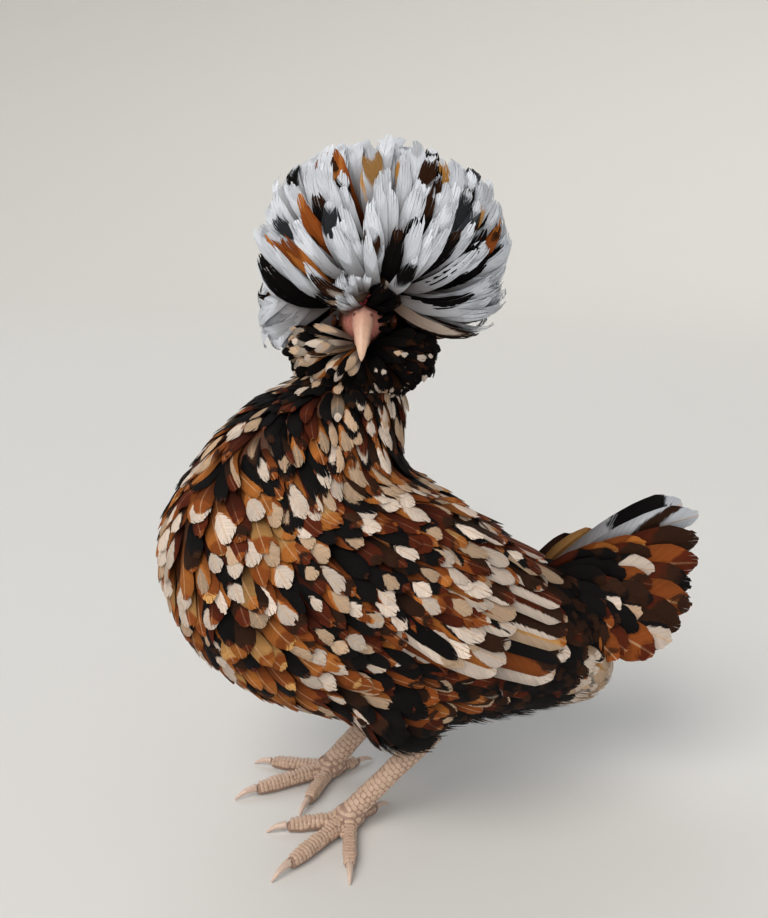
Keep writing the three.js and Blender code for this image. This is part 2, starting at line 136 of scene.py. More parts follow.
def ringFaces(rings, around, wrapped=False):
    # Quads between rings of points; wrapped joins the last ring to the first
    return [
        (r * around + k, r * around + (k + 1) % around,
         (r + 1) % rings * around + (k + 1) % around, (r + 1) % rings * around + k)
        for r in range(rings if wrapped else rings - 1) for k in range(around)
    ]


def closedMesh(name, points, faces):
    mesh = bpy.data.meshes.new(name)
    mesh.from_pydata(points.tolist(), [], faces)
    closed = bmesh.new()
    closed.from_mesh(mesh)
    bmesh.ops.recalc_face_normals(closed, faces=closed.faces)
    closed.to_mesh(mesh)
    closed.free()
    shadeSmooth(mesh)
    return mesh


def joined(name, pieces, material):
    whole = bmesh.new()
    for piece in pieces:
        whole.from_mesh(piece.data)
        bpy.data.objects.remove(piece)
    return asObject(name, meshFrom(name, whole), material)


def finished(piece, slot, *replaced):
    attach(piece, "root")
    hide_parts(*replaced)
    return piece


# Colours of her plumage, as the eye sees them
tones = {
    "white": "C6B6A8",
    "snow": "CACED5",
    "cream": "AD937A",
    "straw": "B98A52",
    "gold": "9E5E29",
    "orange": "80421A",
    "mahogany": "4E1E0C",
    "umber": "2E1A0E",
    "black": "0D0A0A",
    "slate": "2F3134",
    "grey": "857B70",
    "amber": "B5813F",
}
tones = {name: linear(value) for name, value in tones.items()}
draw = np.random.default_rng(11)


def drawn(names, count):
    # One tone for each feather, from a list in which a common tone comes more than once
    picks = draw.integers(0, len(names), count)
    return np.array([tones[name] for name in names])[picks] * (1 + draw.normal(0, 0.15, (count, 1)))


# Feather keratin: matt with a soft sheen, thin barbs running out and forward from a paler shaft.
# Barbs stand 0.3 mm apart on a hen and are drawn up to five times coarser, so that they show
def featherMaterial(name, roughness, gloss, shaft, contrast, blur):
    material, tree, shader = newMaterial(name, Roughness=roughness, Specular_IOR_Level=gloss)
    vane = addNode(tree, "UVMap", {"uv_map": "vane"}).outputs["UV"]
    vane = addNode(tree, "SeparateXYZ", Vector=vane).outputs
    ground, bar, tip, marks, barbs = [
        addNode(tree, "Attribute", {"attribute_name": label}).outputs
        for label in ("groundTone", "barTone", "tipTone", "marks", "barbs")
    ]
    # The edges of the marks follow single barbs, so they are a little torn
    torn = addNode(tree, "TexNoise", Vector=barbs["Vector"], Scale=1.0, Detail=2.0).outputs["Fac"]
    wander = addNode(tree, "TexNoise", Vector=addNode(tree, "TexCoord").outputs["Object"],
                     Scale=190.0, Detail=1.0).outputs["Fac"]
    frayed = addNode(tree, "VectorMath", {"operation": "MULTIPLY_ADD"}, i0=torn, i1=(0.16, 0.16, 0.3),
                     i2=marks["Vector"]).outputs[0]
    placed = addNode(tree, "VectorMath", {"operation": "MULTIPLY_ADD"}, i0=wander, i1=(0.12, 0.12, 0.1),
                     i2=frayed).outputs[0]
    past = addNode(tree, "SeparateXYZ", Vector=placed).outputs
    barHere, tipHere, webHere = [
        addNode(tree, "MapRange", {"interpolation_type": "SMOOTHSTEP"}, Value=past[axis],
                From_Min=-soft * blur, From_Max=soft * blur).outputs["Result"]
        for axis, soft in (("X", 0.03), ("Y", 0.02), ("Z", 0.05))
    ]
    signed = addNode(tree, "Math", {"operation": "MULTIPLY_ADD"}, i0=vane["X"], i1=2.0, i2=-1.0).outputs[0]
    across = addNode(tree, "Math", {"operation": "ABSOLUTE"}, i0=signed).outputs[0]
    # Towards its root each vane is multiplied down to a dark grey-brown: the grey fluff at a feather's base,
    # and painted shade where the feathers above overlap it
    baseFluffAndShade, shaftHere, rimShade = [
        addNode(tree, "MapRange", {"interpolation_type": "SMOOTHSTEP"}, Value=value, From_Min=low,
                From_Max=high).outputs["Result"]
        for value, low, high in ((vane["Y"], 0.85, 0.2), (across, 0.08, 0.03), (across, 0.6, 1.0))
    ]
    colour = addNode(tree, "Mix", {"data_type": "RGBA", "blend_type": "MULTIPLY"}, i0=baseFluffAndShade,
                     i6=ground["Color"], i7=(0.22, 0.18, 0.16, 1)).outputs[2]
    colour = addNode(tree, "Mix", {"data_type": "RGBA"}, i0=barHere, i6=colour, i7=bar["Color"]).outputs[2]
    marked = addNode(tree, "Math", {"operation": "MAXIMUM"}, i0=tipHere, i1=webHere).outputs[0]
    colour = addNode(tree, "Mix", {"data_type": "RGBA"}, i0=marked, i6=colour, i7=tip["Color"]).outputs[2]
    # The shaft is horn, so it shows pale on a brown vane, tan on a white one and not at all on black
    bright = addNode(tree, "SeparateColor", Color=colour).outputs["Red"]
    shows = addNode(tree, "MapRange", Value=bright, From_Min=0.03, From_Max=0.2,
                    To_Max=shaft).outputs["Result"]
    shows = addNode(tree, "Math", {"operation": "MULTIPLY"}, i0=shows, i1=shaftHere).outputs[0]
    colour = addNode(tree, "Mix", {"data_type": "RGBA"}, i0=shows, i6=colour,
                     i7=(*linear("C9A27C"), 1)).outputs[2]
    turn = addNode(tree, "SeparateXYZ", Vector=barbs["Vector"]).outputs["Y"]
    turn = addNode(tree, "Math", {"operation": "MULTIPLY"}, i0=turn, i1=2 * math.pi / 0.9).outputs[0]
    stripe = addNode(tree, "Math", {"operation": "SINE"}, i0=turn).outputs[0]
    # shade multiplies the colour by the barbs' torn tone and stripes, which are the vane's own, and by a
    # painted shade along its edges
    shade = addNode(tree, "Math", {"operation": "MULTIPLY_ADD"}, i0=torn, i1=0.6 * contrast,
                    i2=1.02 - 0.3 * contrast).outputs[0]
    shade = addNode(tree, "Math", {"operation": "MULTIPLY_ADD"}, i0=stripe, i1=0.06 * contrast,
                    i2=shade).outputs[0]
    # Darker towards both edges of the vane: painted shade in the gaps where neighbouring feathers meet
    shade = addNode(tree, "Math", {"operation": "MULTIPLY_ADD"}, i0=rimShade, i1=-0.2 * contrast,
                    i2=shade).outputs[0]
    shade = addNode(tree, "CombineColor", Red=shade, Green=shade, Blue=shade).outputs[0]
    colour = addNode(tree, "Mix", {"data_type": "RGBA", "blend_type": "MULTIPLY"}, i0=1.0, i6=colour,
                     i7=shade).outputs[2]
    height = addNode(tree, "Math", {"operation": "MULTIPLY_ADD"}, i0=shaftHere, i1=4.0, i2=stripe).outputs[0]
    bump = addNode(tree, "Bump", Strength=0.3, Distance=0.00015, Height=height)
    tree.links.new(colour, shader.inputs["Base Color"])
    tree.links.new(bump.outputs["Normal"], shader.inputs["Normal"])
    return material


softFeather = featherMaterial("softContourFeather", 0.75, 0.1, 0.45, 1.0, 1.4)
firmFeather = featherMaterial("firmFlightFeather", 0.62, 0.08, 0.5, 1.0, 1.0)
downyFeather = featherMaterial("downyCrestFeather", 0.9, 0.05, 0.04, 0.5, 2.2)

# A vane's outline, and how its barbs part in groups towards the tip
shapes = {
    "contour": {"quill": 0.3, "widest": 0.7, "taper": 0.14, "round": 0.2, "groups": 6, "rows": 8,
                "parts": 0.86, "comb": 0.2, "rag": 0.06, "camber": 0.28, "loft": 0.1, "barbs": 30},
    "hackle": {"quill": 0.35, "widest": 0.66, "taper": 0.2, "round": 0.26, "groups": 5, "rows": 8,
               "parts": 0.8, "comb": 0.25, "rag": 0.08, "camber": 0.25, "loft": 0.2, "barbs": 30},
    "puff": {"quill": 0.3, "widest": 0.7, "taper": 0.1, "round": 0.25, "groups": 8, "rows": 7, "parts": 0.6,
             "comb": 0.5, "rag": 0.16, "camber": 0.2, "loft": 1.0, "barbs": 24},
    "down": {"quill": 0.35, "widest": 0.6, "taper": 0.1, "round": 0.3, "groups": 9, "rows": 7, "parts": 0.45,
             "comb": 0.75, "rag": 0.3, "camber": 0.2, "loft": 1.6, "barbs": 24},
    "crest": {"quill": 0.3, "widest": 0.72, "taper": 0.16, "round": 0.2, "groups": 6, "rows": 10,
              "parts": 0.78, "comb": 0.24, "rag": 0.1, "camber": 0.08, "loft": 0.8, "barbs": 34},
    "face": {"quill": 0.5, "widest": 0.5, "taper": 0.4, "round": 0.35, "groups": 4, "rows": 6, "parts": 0.45,
             "comb": 0.7, "rag": 0.15, "camber": 0.2, "loft": 0.4, "barbs": 20},
    "flight": {"quill": 0.3, "widest": 0.45, "taper": 0.06, "round": 0.13, "groups": 8, "rows": 12,
               "parts": 0.9, "comb": 0.12, "rag": 0.012, "camber": 0.16, "loft": 0.1, "barbs": 70},
    "tail": {"quill": 0.25, "widest": 0.7, "taper": 0.12, "round": 0.16, "groups": 10, "rows": 12,
             "parts": 0.93, "comb": 0.08, "rag": 0.025, "camber": 0.16, "loft": 0.2, "barbs": 70},
}


def widthAt(shape, along):
    rise = np.sin(np.clip(along / shape["widest"], 0, 1) * math.pi / 2)
    past = np.clip((along - shape["widest"]) / (1 - shape["widest"]), 0, 1)
    return (shape["quill"] + (1 - shape["quill"]) * rise) * (1 - shape["taper"] * past ** 2)


def vanes(name, path, out, half, look, bake, shapeName, tilt=0.0, material=None):
    # path and out hold each feather's midline, at even steps, and the way out of the coat along it
    shape = shapes[shapeName]
    count, steps, _ = path.shape
    groups, rows = shape["groups"], shape["rows"]
    ahead = unit(np.gradient(path, axis=1))
    side = unit(np.cross(ahead, out))
    up = np.cross(side, ahead)
    angle = (np.zeros(count) + tilt)[:, None, None]
    side, up = side * np.cos(angle) + up * np.sin(angle), up * np.cos(angle) - side * np.sin(angle)
    middle = (np.arange(groups) + 0.5) / groups * 2 - 1
    ends = np.array([-1, 1]) / groups
    reach = 1 - shape["round"] * np.abs(middle[:, None] + ends) ** 2.2
    reach = reach[None] - shape["rag"] * draw.random((count, groups, 1))
    stop = np.linspace(0, 1, rows)
    along = reach[:, :, None] * stop[:, None]
    parting = smooth(shape["parts"], 1, stop)
    across = middle[:, None, None] + ends * 1.05 * (1 - shape["comb"] * parting)[:, None]
    across = across[None] + (
        draw.normal(0, 0.5, (count, groups, 1)) * shape["comb"] / groups * parting
    )[..., None]
    at = along * (steps - 1)
    low = np.minimum(at.astype(int), steps - 2)
    part = (at - low)[..., None]
    which = np.arange(count)[:, None, None, None]

    def between(values):
        return values[which, low] * (1 - part) + values[which, low + 1] * part

    wide = half[:, None, None, None] * widthAt(shape, along)
    # Frayed sides: here and there a barb stands short
    edge = (np.abs(across) > 1 - 1 / groups) * (along > 0.2)
    across = across * (1 - edge * shape["rag"] * draw.random(across.shape))
    rise = (
        shape["loft"] * mm * draw.random((count, groups, 1, 1)) * along ** 2
        - shape["camber"] * across ** 2 * wide
    )
    points = between(path) + between(side) * (across * wide)[..., None] + between(up) * rise[..., None]
    index = np.arange(count * groups * rows * 2).reshape(count * groups, rows, 2)
    quads = np.stack([index[:, :-1, 0], index[:, :-1, 1], index[:, 1:, 1], index[:, 1:, 0]], -1)
    quads = quads.reshape(-1, 4)
    mesh = bpy.data.meshes.new(name)
    mesh.vertices.add(index.size)
    mesh.vertices.foreach_set("co", points.reshape(-1).astype(np.float32))
    mesh.loops.add(quads.size)
    mesh.loops.foreach_set("vertex_index", quads.reshape(-1).astype(np.int32))
    mesh.polygons.add(len(quads))
    mesh.polygons.foreach_set("loop_start", np.arange(0, quads.size, 4, dtype=np.int32))
    shadeSmooth(mesh)
    mesh.update(calc_edges=True)
    flat = np.stack([(across + 1) / 2, along], -1)
    patch = 0.003
    spots = bake[:, None, None, None] + (flat - 0.5) * patch
    for layer, values in (("vane", flat), ("OFBake", spots)):
        uv = mesh.uv_layers.new(name=layer)
        uv.data.foreach_set("uv", values.reshape(-1, 2)[quads.reshape(-1)].reshape(-1).astype(np.float32))
    each = groups * rows * 2
    for label in ("ground", "bar", "tip"):
        tone = mesh.attributes.new(label + "Tone", "FLOAT_COLOR", "POINT")
        rgba = np.append(np.clip(look[label], 0, 1), np.ones((count, 1)), 1)
        tone.data.foreach_set("color", np.repeat(rgba, each, 0).reshape(-1).astype(np.float32))
    # How far each point lies past the start of the bar, of the tip and of a pale web;
    # and its place among the barbs
    skew, web, seed = [column[:, None, None, None] for column in look["habit"].T]
    barAt, tipAt, bow = [column[:, None, None, None] for column in look["marks"].T]
    level = along - bow * (across - skew) ** 2 - 0.14
    marks = np.stack([level - barAt, level - tipAt, across * np.sign(web) - np.abs(web) - 0.2], -1)
    barb = (along - 0.16 * np.abs(across)) * shape["barbs"]
    barbs = np.stack([across * 0.8, barb * 0.9, seed * 60 + 0 * across], -1)
    for label, values in (("marks", marks), ("barbs", barbs)):
        stored = mesh.attributes.new(label, "FLOAT_VECTOR", "POINT")
        stored.data.foreach_set("vector", values.reshape(-1).astype(np.float32))
    return asObject(name, mesh, material or softFeather)


# Kinds of feather: tones of ground, bar and tip, then where the bar and the tip start and how far they bow
plumes = {
    "spangled": ("gold gold orange orange mahogany", "gold orange umber", "white white white cream",
                 (0.42, 0.47, 0.5)),
    "barred": ("gold orange orange mahogany", "black", "white white cream", (0.46, 0.6, 0.4)),
    "plain": ("gold gold orange straw", "gold orange", "straw gold orange", (0.7, 0.9, 0.1)),
    "deep": ("mahogany orange mahogany umber", "mahogany umber", "mahogany orange", (0.7, 0.86, 0.2)),
    "wine": ("mahogany umber mahogany black", "umber black", "umber black", (0.66, 0.86, 0.1)),
    "dark": ("black umber black", "black", "umber mahogany black", (0.6, 0.88, 0.2)),
    "black": ("black", "black", "black black umber", (0.6, 0.8, 0.2)),
    "laced": ("gold orange umber gold", "black orange umber", "grey cream", (0.8, 0.98, -0.34)),
    "spoon": ("umber black gold", "black umber gold", "cream cream white", (0.4, 0.46, 0.5)),
    "streak": ("cream white", "cream grey", "white cream", (0.5, 0.7, 0.3)),
    "fluff": ("grey grey cream umber", "grey umber", "cream grey cream", (0.4, 0.62, 0.2)),
    "pale": ("cream cream straw", "cream", "white cream", (0.5, 0.7, 0.2)),
    "clean": ("white", "white", "white", (0.5, 0.7, 0.2)),
    "snowy": ("snow", "snow", "snow", (0.6, 0.8, 0.2)),
    "flagged": ("snow", "black slate umber", "snow", (0.48, 0.8, 0.2)),
    "ambered": ("snow", "amber straw", "snow", (0.5, 0.82, 0.2)),
    "tipped": ("black black umber", "black", "white white cream", (0.46, 0.64, 0.4)),
    "gilded": ("umber orange", "orange gold", "orange gold umber", (0.46, 0.74, 0.2)),
    "rimmed": ("cream white", "black umber", "black", (0.74, 0.9, -0.4)),
    "ivory": ("grey cream white", "grey cream", "white grey cream", (0.4, 0.6, 0.3)),
}


def looksOf(kinds):
    # The kinds are names in plumes, one for each feather
    count = len(kinds)
    look = {label: np.zeros((count, 3)) for label in ("ground", "bar", "tip", "marks")}
    for kind in sorted(set(kinds)):
        here = np.flatnonzero(kinds == kind)
        many = len(here)
        for label, names in zip(("ground", "bar", "tip"), plumes[kind]):
            look[label][here] = drawn(names.split(), many)
        barAt, tipAt, bow = plumes[kind][3]
        bars = barAt + draw.normal(0, 0.05, many)
        tips = np.maximum(bars + 0.01, tipAt + draw.normal(0, 0.05, many))
        look["marks"][here] = np.stack([bars, tips, bow * draw.uniform(0.6, 1.4, many)], -1)
    look["habit"] = np.stack([draw.normal(0, 0.14, count), np.full(count, 3.0), draw.random(count)], -1)
    return look


def chosen(count, shares):
    # A kind for each feather; shares are one weight per kind, the same for all or one per feather
    names = np.array(list(shares))
    weights = np.stack([np.zeros(count) + share for share in shares.values()], -1)
    cut = np.cumsum(weights / weights.sum(1, keepdims=True), 1)
    return names[np.minimum((draw.random((count, 1)) > cut).sum(1), len(names) - 1)]


def clumps(points, size, shift):
    # Slow noise from -1 to 1, so that one kind of marking gathers in patches
    return np.array([noise.noise(Vector(p / (size * mm)) + Vector((shift, 0, 0))) for p in points]) * 2


def arrays(mesh):
    co = np.zeros(len(mesh.vertices) * 3, np.float32)
    mesh.vertices.foreach_get("co", co)
    mesh.calc_loop_triangles()
    tri = np.zeros(len(mesh.loop_triangles) * 3, np.int32)
    mesh.loop_triangles.foreach_get("vertices", tri)
    return co.reshape(-1, 3).astype(float), tri.reshape(-1, 3)


def shifted(mesh, amounts):
    points, _ = arrays(mesh)
    normal = np.zeros(points.size, np.float32)
    mesh.vertex_normals.foreach_get("vector", normal)
    moved = points + normal.reshape(-1, 3) * np.reshape(amounts, (-1, 1))
    mesh.vertices.foreach_set("co", moved.reshape(-1).astype(np.float32))
    mesh.update()


def treeOf(mesh):
    points, faces = arrays(mesh)
    return BVHTree.FromPolygons(points.tolist(), faces.tolist())


# Solids of the same flesh made one whole skin: swelled shut, remeshed, evened out and drawn back
def wholeSkin(names, voxel, evening, swell, extra=()):
    shape = bmesh.new()
    for name in names:
        shape.from_mesh(nodes[name].data)
    for centre, radii in extra:
        turned = Matrix.Translation(place(centre)) @ Matrix.Diagonal((*[r * mm for r in radii], 1))
        bmesh.ops.create_icosphere(shape, subdivisions=3, radius=1, matrix=turned)
    bmesh.ops.remove_doubles(shape, verts=shape.verts, dist=1e-5)
    shape.normal_update()
    moves = [v.normal * swell for v in shape.verts]
    for v, move in zip(shape.verts, moves):
        v.co += move
    piece = linked("skin", meshFrom("skin", shape))
    remesh = piece.modifiers.new("Remesh", "REMESH")
    remesh.mode = "VOXEL"
    remesh.voxel_size = voxel
    relax = piece.modifiers.new("Smooth", "SMOOTH")
    relax.factor = 0.6
    relax.iterations = evening
    mesh = evaluated(piece)
    shifted(mesh, -swell)
    shadeSmooth(mesh)
    return mesh


tailRoot = ((0, 122, 108), (15, 34, 27))
flesh = ["torso", "neck", "head", "left_thigh", "right_thigh"]
skinMesh = wholeSkin(flesh, voxel=1.9 * mm, evening=14, swell=0.9 * mm, extra=[tailRoot])
fleshTree = treeOf(skinMesh)
underCoat = [name for name in flesh if name != "head"] + ["left_wing", "right_wing"]
coatMesh = wholeSkin(underCoat, voxel=3.2 * mm, evening=30, swell=1.6 * mm, extra=[tailRoot])
coatTree = treeOf(coatMesh)
print("skin", len(skinMesh.polygons), "coat", len(coatMesh.polygons))

# The skin's own unwrap is the map that every root is placed on
skinMesh.uv_layers.new(name="OFBake")
skinPiece = linked("skin", skinMesh)
bpy.context.view_layer.objects.active = skinPiece
bpy.ops.object.mode_set(mode="EDIT")
bpy.ops.mesh.select_all(action="SELECT")
bpy.ops.uv.smart_project(angle_limit=math.radians(70), island_margin=0.002)
bpy.ops.object.mode_set(mode="OBJECT")
skinUv = np.zeros(len(skinMesh.loops) * 2, np.float32)
skinMesh.uv_layers["OFBake"].data.foreach_get("uv", skinUv)
skinUv = skinUv.reshape(-1, 2)
triangleLoops = np.zeros(len(skinMesh.loop_triangles) * 3, np.int32)
skinMesh.loop_triangles.foreach_get("loops", triangleLoops)
triangleUv = skinUv[triangleLoops.reshape(-1, 3)].mean(1)


def bakeSpots(points):
    return triangleUv[[fleshTree.find_nearest(p)[2] for p in points]].astype(float)


print("skin unwrapped")

# Wings: u runs back and down along the lie, and v up across it, in millimetres from the wing's middle
wing = {"middle": (28, 150), "lie": -24, "inner": 30}
lie = math.radians(wing["lie"])


def fromWing(u, v):
    y0, z0 = wing["middle"]
    return y0 + u * math.cos(lie) - v * math.sin(lie), z0 + u * math.sin(lie) + v * math.cos(lie)


def toWing(y, z):
    dy, dz = y - wing["middle"][0], z - wing["middle"][1]
    return dy * math.cos(lie) + dz * math.sin(lie), dz * math.cos(lie) - dy * math.sin(lie)


def flowAt(p, n):
    # Down the neck and breast, then back along the trunk to the tail
    x, y, z = measured(p)
    front = smooth(-15, -85, y)
    neck = smooth(186, 218, z - 0.55 * y)
    high = smooth(112, 168, z) * smooth(110, 70, y)
    back = np.stack([0 * x, blend(1, 0.1, front), blend(blend(-0.4, -0.85, high), -1, front)], -1)
    down = np.stack([0.05 * x, 0.12 + 0 * x, -1 + 0 * x], -1)
    way = blend(back, down, neck[..., None])
    # Over the middle of the breast, which faces forward and up, the lie runs forward and down
    crop = smooth(0, -22, y) * smooth(92, 112, z) * smooth(34, 16, np.abs(x))
    way = blend(way, np.stack([0.01 * x, -1 + 0 * x, -1 + 0 * x], -1), crop[..., None])
    leg = smooth(60, 44, z) * smooth(95, 60, y) * smooth(-30, 0, y)
    way = blend(way, np.stack([0 * x, 0.25 + 0 * x, -1 + 0 * x], -1), leg[..., None])
    return unit(way - n * np.sum(way * n, -1, keepdims=True))


def scatter(mesh, spacingAt, tries, seed):
    # Points spread over the faces, none closer to another than the spacing there
    rng = np.random.default_rng(seed)
    points, faces = arrays(mesh)
    corner = points[faces]
    area = np.linalg.norm(np.cross(corner[:, 1] - corner[:, 0], corner[:, 2] - corner[:, 0]), axis=1)
    face = rng.choice(len(faces), size=tries, p=area / area.sum())
    a, b = rng.random((2, tries, 1))
    a, b = np.where(a + b > 1, 1 - a, a), np.where(a + b > 1, 1 - b, b)
    c = corner[face]
    spots = c[:, 0] + a * (c[:, 1] - c[:, 0]) + b * (c[:, 2] - c[:, 0])
    gap = spacingAt(spots)
    spots, gap = spots[gap > 0], gap[gap > 0]
    cell = gap.max()
    keys = np.floor(spots / cell).astype(int).tolist()
    near = [(i, j, k) for i in (-1, 0, 1) for j in (-1, 0, 1) for k in (-1, 0, 1)]
    grid, kept = {}, []
    for n, (i, j, k) in enumerate(keys):
        others = [m for d in near for m in grid.get((i + d[0], j + d[1], k + d[2]), ())]
        if others and np.min(np.sum((spots[others] - spots[n]) ** 2, axis=1)) < gap[n] ** 2:
            continue
        grid.setdefault((i, j, k), []).append(n)
        kept.append(n)
    return spots[kept]


def combed(tree, roots, lengths, steps, turn, deep, lift):
    # Each feather walks over the coat from its root, always along the lie, and rises out of the coat
    path = np.zeros((len(roots), steps, 3))
    out = np.zeros_like(path)
    spot = roots.copy()
    normal = np.zeros_like(roots)
    for k in range(steps):
        for i in range(len(roots)):
            spot[i], normal[i], _, _ = tree.find_nearest(spot[i])
        path[:, k] = spot
        out[:, k] = normal
        way = flowAt(spot, normal)
        way = unit(way + np.cross(normal, way) * turn[:, None])
        spot = spot + way * (lengths / (steps - 1))[:, None]
    for _ in range(2):
        out[:, 1:-1] = unit(out[:, :-2] + out[:, 1:-1] * 2 + out[:, 2:])
    # Where a walk turned sharply over a ridge, the feather would stand off the coat
    ahead = unit(np.diff(path, axis=1))
    lies = np.sum(ahead[:, 1:] * ahead[:, :-1], -1).min(1) > coat["sharpest"]
    stops = np.linspace(0, 1, steps)
    rise = -deep[:, None] + (deep + lift)[:, None] * (1 - (1 - stops) ** 1.5)
    return path + out * rise[..., None], out, lies


# Where on her body feathers are long or short, and wide or narrow, in millimetres
coat = {
    "length": {"trunk": 28, "front": -1, "neck": 2, "nape": -10, "vent": 5, "leg": -12, "wing": -1},
    "half": {"trunk": 5.7, "front": 0.2, "neck": -1.5, "nape": -1.0, "vent": 1.8, "leg": -1.8, "wing": -0.8},
    "gap": {"trunk": 6.6, "front": 0.4, "neck": -1.6, "nape": -1.1, "vent": -0.6, "leg": -2.6, "wing": -0.6},
    "deep": 5.0,  # how far a root lies under the coat's outside
    "lift": 1.2,  # how far a tip stands over it
    "steps": 9,
    "outerTries": 90000,
    "innerTries": 60000,
    "sharpest": 0.84,  # cosine of the sharpest turn that a feather takes
}


def zones(p):
    x, y, z = measured(p)
    u, v = toWing(y, z)
    neck = smooth(188, 216, z)
    return {
        "trunk": 1 + 0 * x,
        "front": smooth(20, -60, y) * (1 - neck),
        "neck": neck,
        "nape": smooth(218, 245, z),
        "vent": smooth(96, 108, y) * smooth(103, 94, z),
        "leg": smooth(58, 46, z) * smooth(95, 70, y),
        "wing": (np.abs(x) > wing["inner"]) * smooth(-84, -70, u) * smooth(-34, -26, v) * smooth(36, 28, v),
    }


def coatSize(p, what):
    return sum(coat[what][zone] * share for zone, share in zones(p).items())


def underFlights(p, grow):
    x, y, z = measured(p)
    u, v = toWing(y, z)
    along = (u > 24 - grow) & (u < 86 + grow)
    across = (v > -27 - grow) & (v < 22 + grow)
    return (np.abs(x) > wing["inner"]) & along & across


def belowWing(p):
    x, y, z = measured(p)
    u, v = toWing(y, z)
    return (np.abs(x) > wing["inner"]) & (u > -40) & (u < 92) & (v > -44) & (v <= -27)


def outerSpacing(p):
    z = measured(p)[2]
    return np.where((z > 262) | underFlights(p, 0) | belowWing(p), 0, coatSize(p, "gap") * mm)


def innerSpacing(p):
    # These slip under the wing's lower edge and tip
    return np.where(underFlights(p, 10) | belowWing(p), coatSize(p, "gap") * mm, 0)


def bodyKinds(p):
    x, y, z = measured(p)
    zone = zones(p)
    nape, vent = zone["nape"], zone["vent"]
    onWing = zone["wing"] * smooth(30, 22, toWing(y, z)[0])
    neck = smooth(166, 204, z) * (1 - nape)
    belly = smooth(80, 64, z) * (1 - vent) * smooth(78, 60, y)
    # Behind the flank, under the wing, only her darkest feathers, wine and black: painted shadow under the
    # wing
    rearShadow = smooth(48, 62, y) * smooth(160, 146, z) * (1 - vent) * (1 - onWing)
    flank = smooth(124, 104, z) * smooth(-45, 5, y) * (1 - belly) * (1 - vent) * (1 - rearShadow) * (1 - onWing)
    breast = np.clip(1 - nape - neck - vent - belly - flank - rearShadow - onWing, 0, 1)
    shares = {
        "nape": {"spoon": 5.4, "dark": 3, "rimmed": 1, "streak": 0.8, "black": 3.4, "deep": 1},
        "neck": {"spoon": 2, "dark": 3, "spangled": 1.6, "plain": 1.6, "rimmed": 1, "black": 4, "deep": 2.6},
        "breast": {"spangled": 4.8, "plain": 3, "barred": 0.8, "dark": 1.7, "deep": 3.4},
        "wing": {"spangled": 2.8, "deep": 4.2, "barred": 1.4, "plain": 1.8, "dark": 1.7},
        "flank": {"laced": 2.2, "deep": 3, "dark": 2, "wine": 3.4, "black": 4, "barred": 0.4},
        "rearShadow": {"wine": 4, "black": 7},
        "belly": {"fluff": 2.4, "laced": 1.2, "dark": 1.8, "black": 2, "wine": 1},
        "vent": {"pale": 6, "ivory": 2},
    }
    weight = {"nape": nape, "neck": neck, "breast": breast, "wing": onWing * (1 - neck), "flank": flank,
              "rearShadow": rearShadow, "belly": belly, "vent": vent}
    # Black gathers in clumps rather than evenly
    clump = np.clip(1 + 2.4 * clumps(p, 26, 3.0), 0.05, 4)
    total = {}
    for zoneName, kinds in shares.items():
        whole = sum(kinds.values())
        for kind, share in kinds.items():
            more = clump if kind in ("dark", "black", "barred") else 1
            total[kind] = total.get(kind, 0) + weight[zoneName] * share / whole * more
    return chosen(len(p), total)


outer = scatter(coatMesh, outerSpacing, coat["outerTries"], seed=5)
inner = scatter(skinMesh, innerSpacing, coat["innerTries"], seed=6)
roots = np.concatenate([outer, inner])
lengths = coatSize(roots, "length") * mm * draw.normal(1, 0.09, len(roots))
turn = draw.normal(0, 0.13, len(roots))
deep = np.full(len(roots), coat["deep"] * mm)
lift = (coat["lift"] + draw.normal(0, 0.35, len(roots))) * mm * (1 - 0.7 * zones(roots)["neck"])
split = len(outer)
walks = [
    combed(tree, roots[part], lengths[part], coat["steps"], turn[part], deep[part], lift[part])
    for tree, part in ((coatTree, slice(0, split)), (fleshTree, slice(split, None)))
]
path, out, lies = [np.concatenate(both) for both in zip(*walks)]
look = looksOf(bodyKinds(roots))
half = coatSize(roots, "half") * mm * draw.normal(1, 0.08, len(roots))
spots = bakeSpots(roots)
tilt = draw.normal(0, 0.13, len(roots))
hackled = zones(roots)["neck"] > 0.5
onWing = (zones(roots)["wing"] > 0.5) & ~hackled
vented = (zones(roots)["vent"] > 0.4) & ~onWing
downy = (measured(roots)[2] < 70) & ~onWing & ~vented
print("body feathers", len(outer), len(inner))


def dressed(name, picks, shapeName):
    return vanes(name, path[picks], out[picks], half[picks], {k: v[picks] for k, v in look.items()},
                 spots[picks], shapeName, tilt[picks])


isLeft = roots[:, 0] > origin[0]
atFront = roots[:, 1] < origin[1] - 20 * mm
plain = ~onWing & ~downy & ~vented & ~hackled
for name, mask, shapeName, slot, replaced in (
    ("leftBreastFeathers", plain & isLeft & atFront, "contour", "body_feathers", ["torso"]),
    ("rightBreastFeathers", plain & ~isLeft & atFront, "contour", "body_feathers", ["torso"]),
    ("leftBackFeathers", plain & isLeft & ~atFront, "contour", "body_feathers", ["torso"]),
    ("rightBackFeathers", plain & ~isLeft & ~atFront, "contour", "body_feathers", ["torso"]),
    ("neckFeathers", hackled, "hackle", "neck_feathers", ["neck"]),
    ("bellyDown", downy, "down", "thigh_feathers", ["left_thigh", "right_thigh"]),
    ("ventFluff", vented, "puff", "body_feathers", ["torso"]),
    ("leftWingCoverts", onWing & isLeft, "contour", "wing_feathers", ["left_wing"]),
    ("rightWingCoverts", onWing & ~isLeft, "contour", "wing_feathers", ["right_wing"]),
):
    picks = np.flatnonzero(mask & lies)
    piece = finished(dressed(name, picks, shapeName), slot, *replaced)
    print(name, len(picks), "feathers,", len(piece.data.polygons) * 2, "triangles")

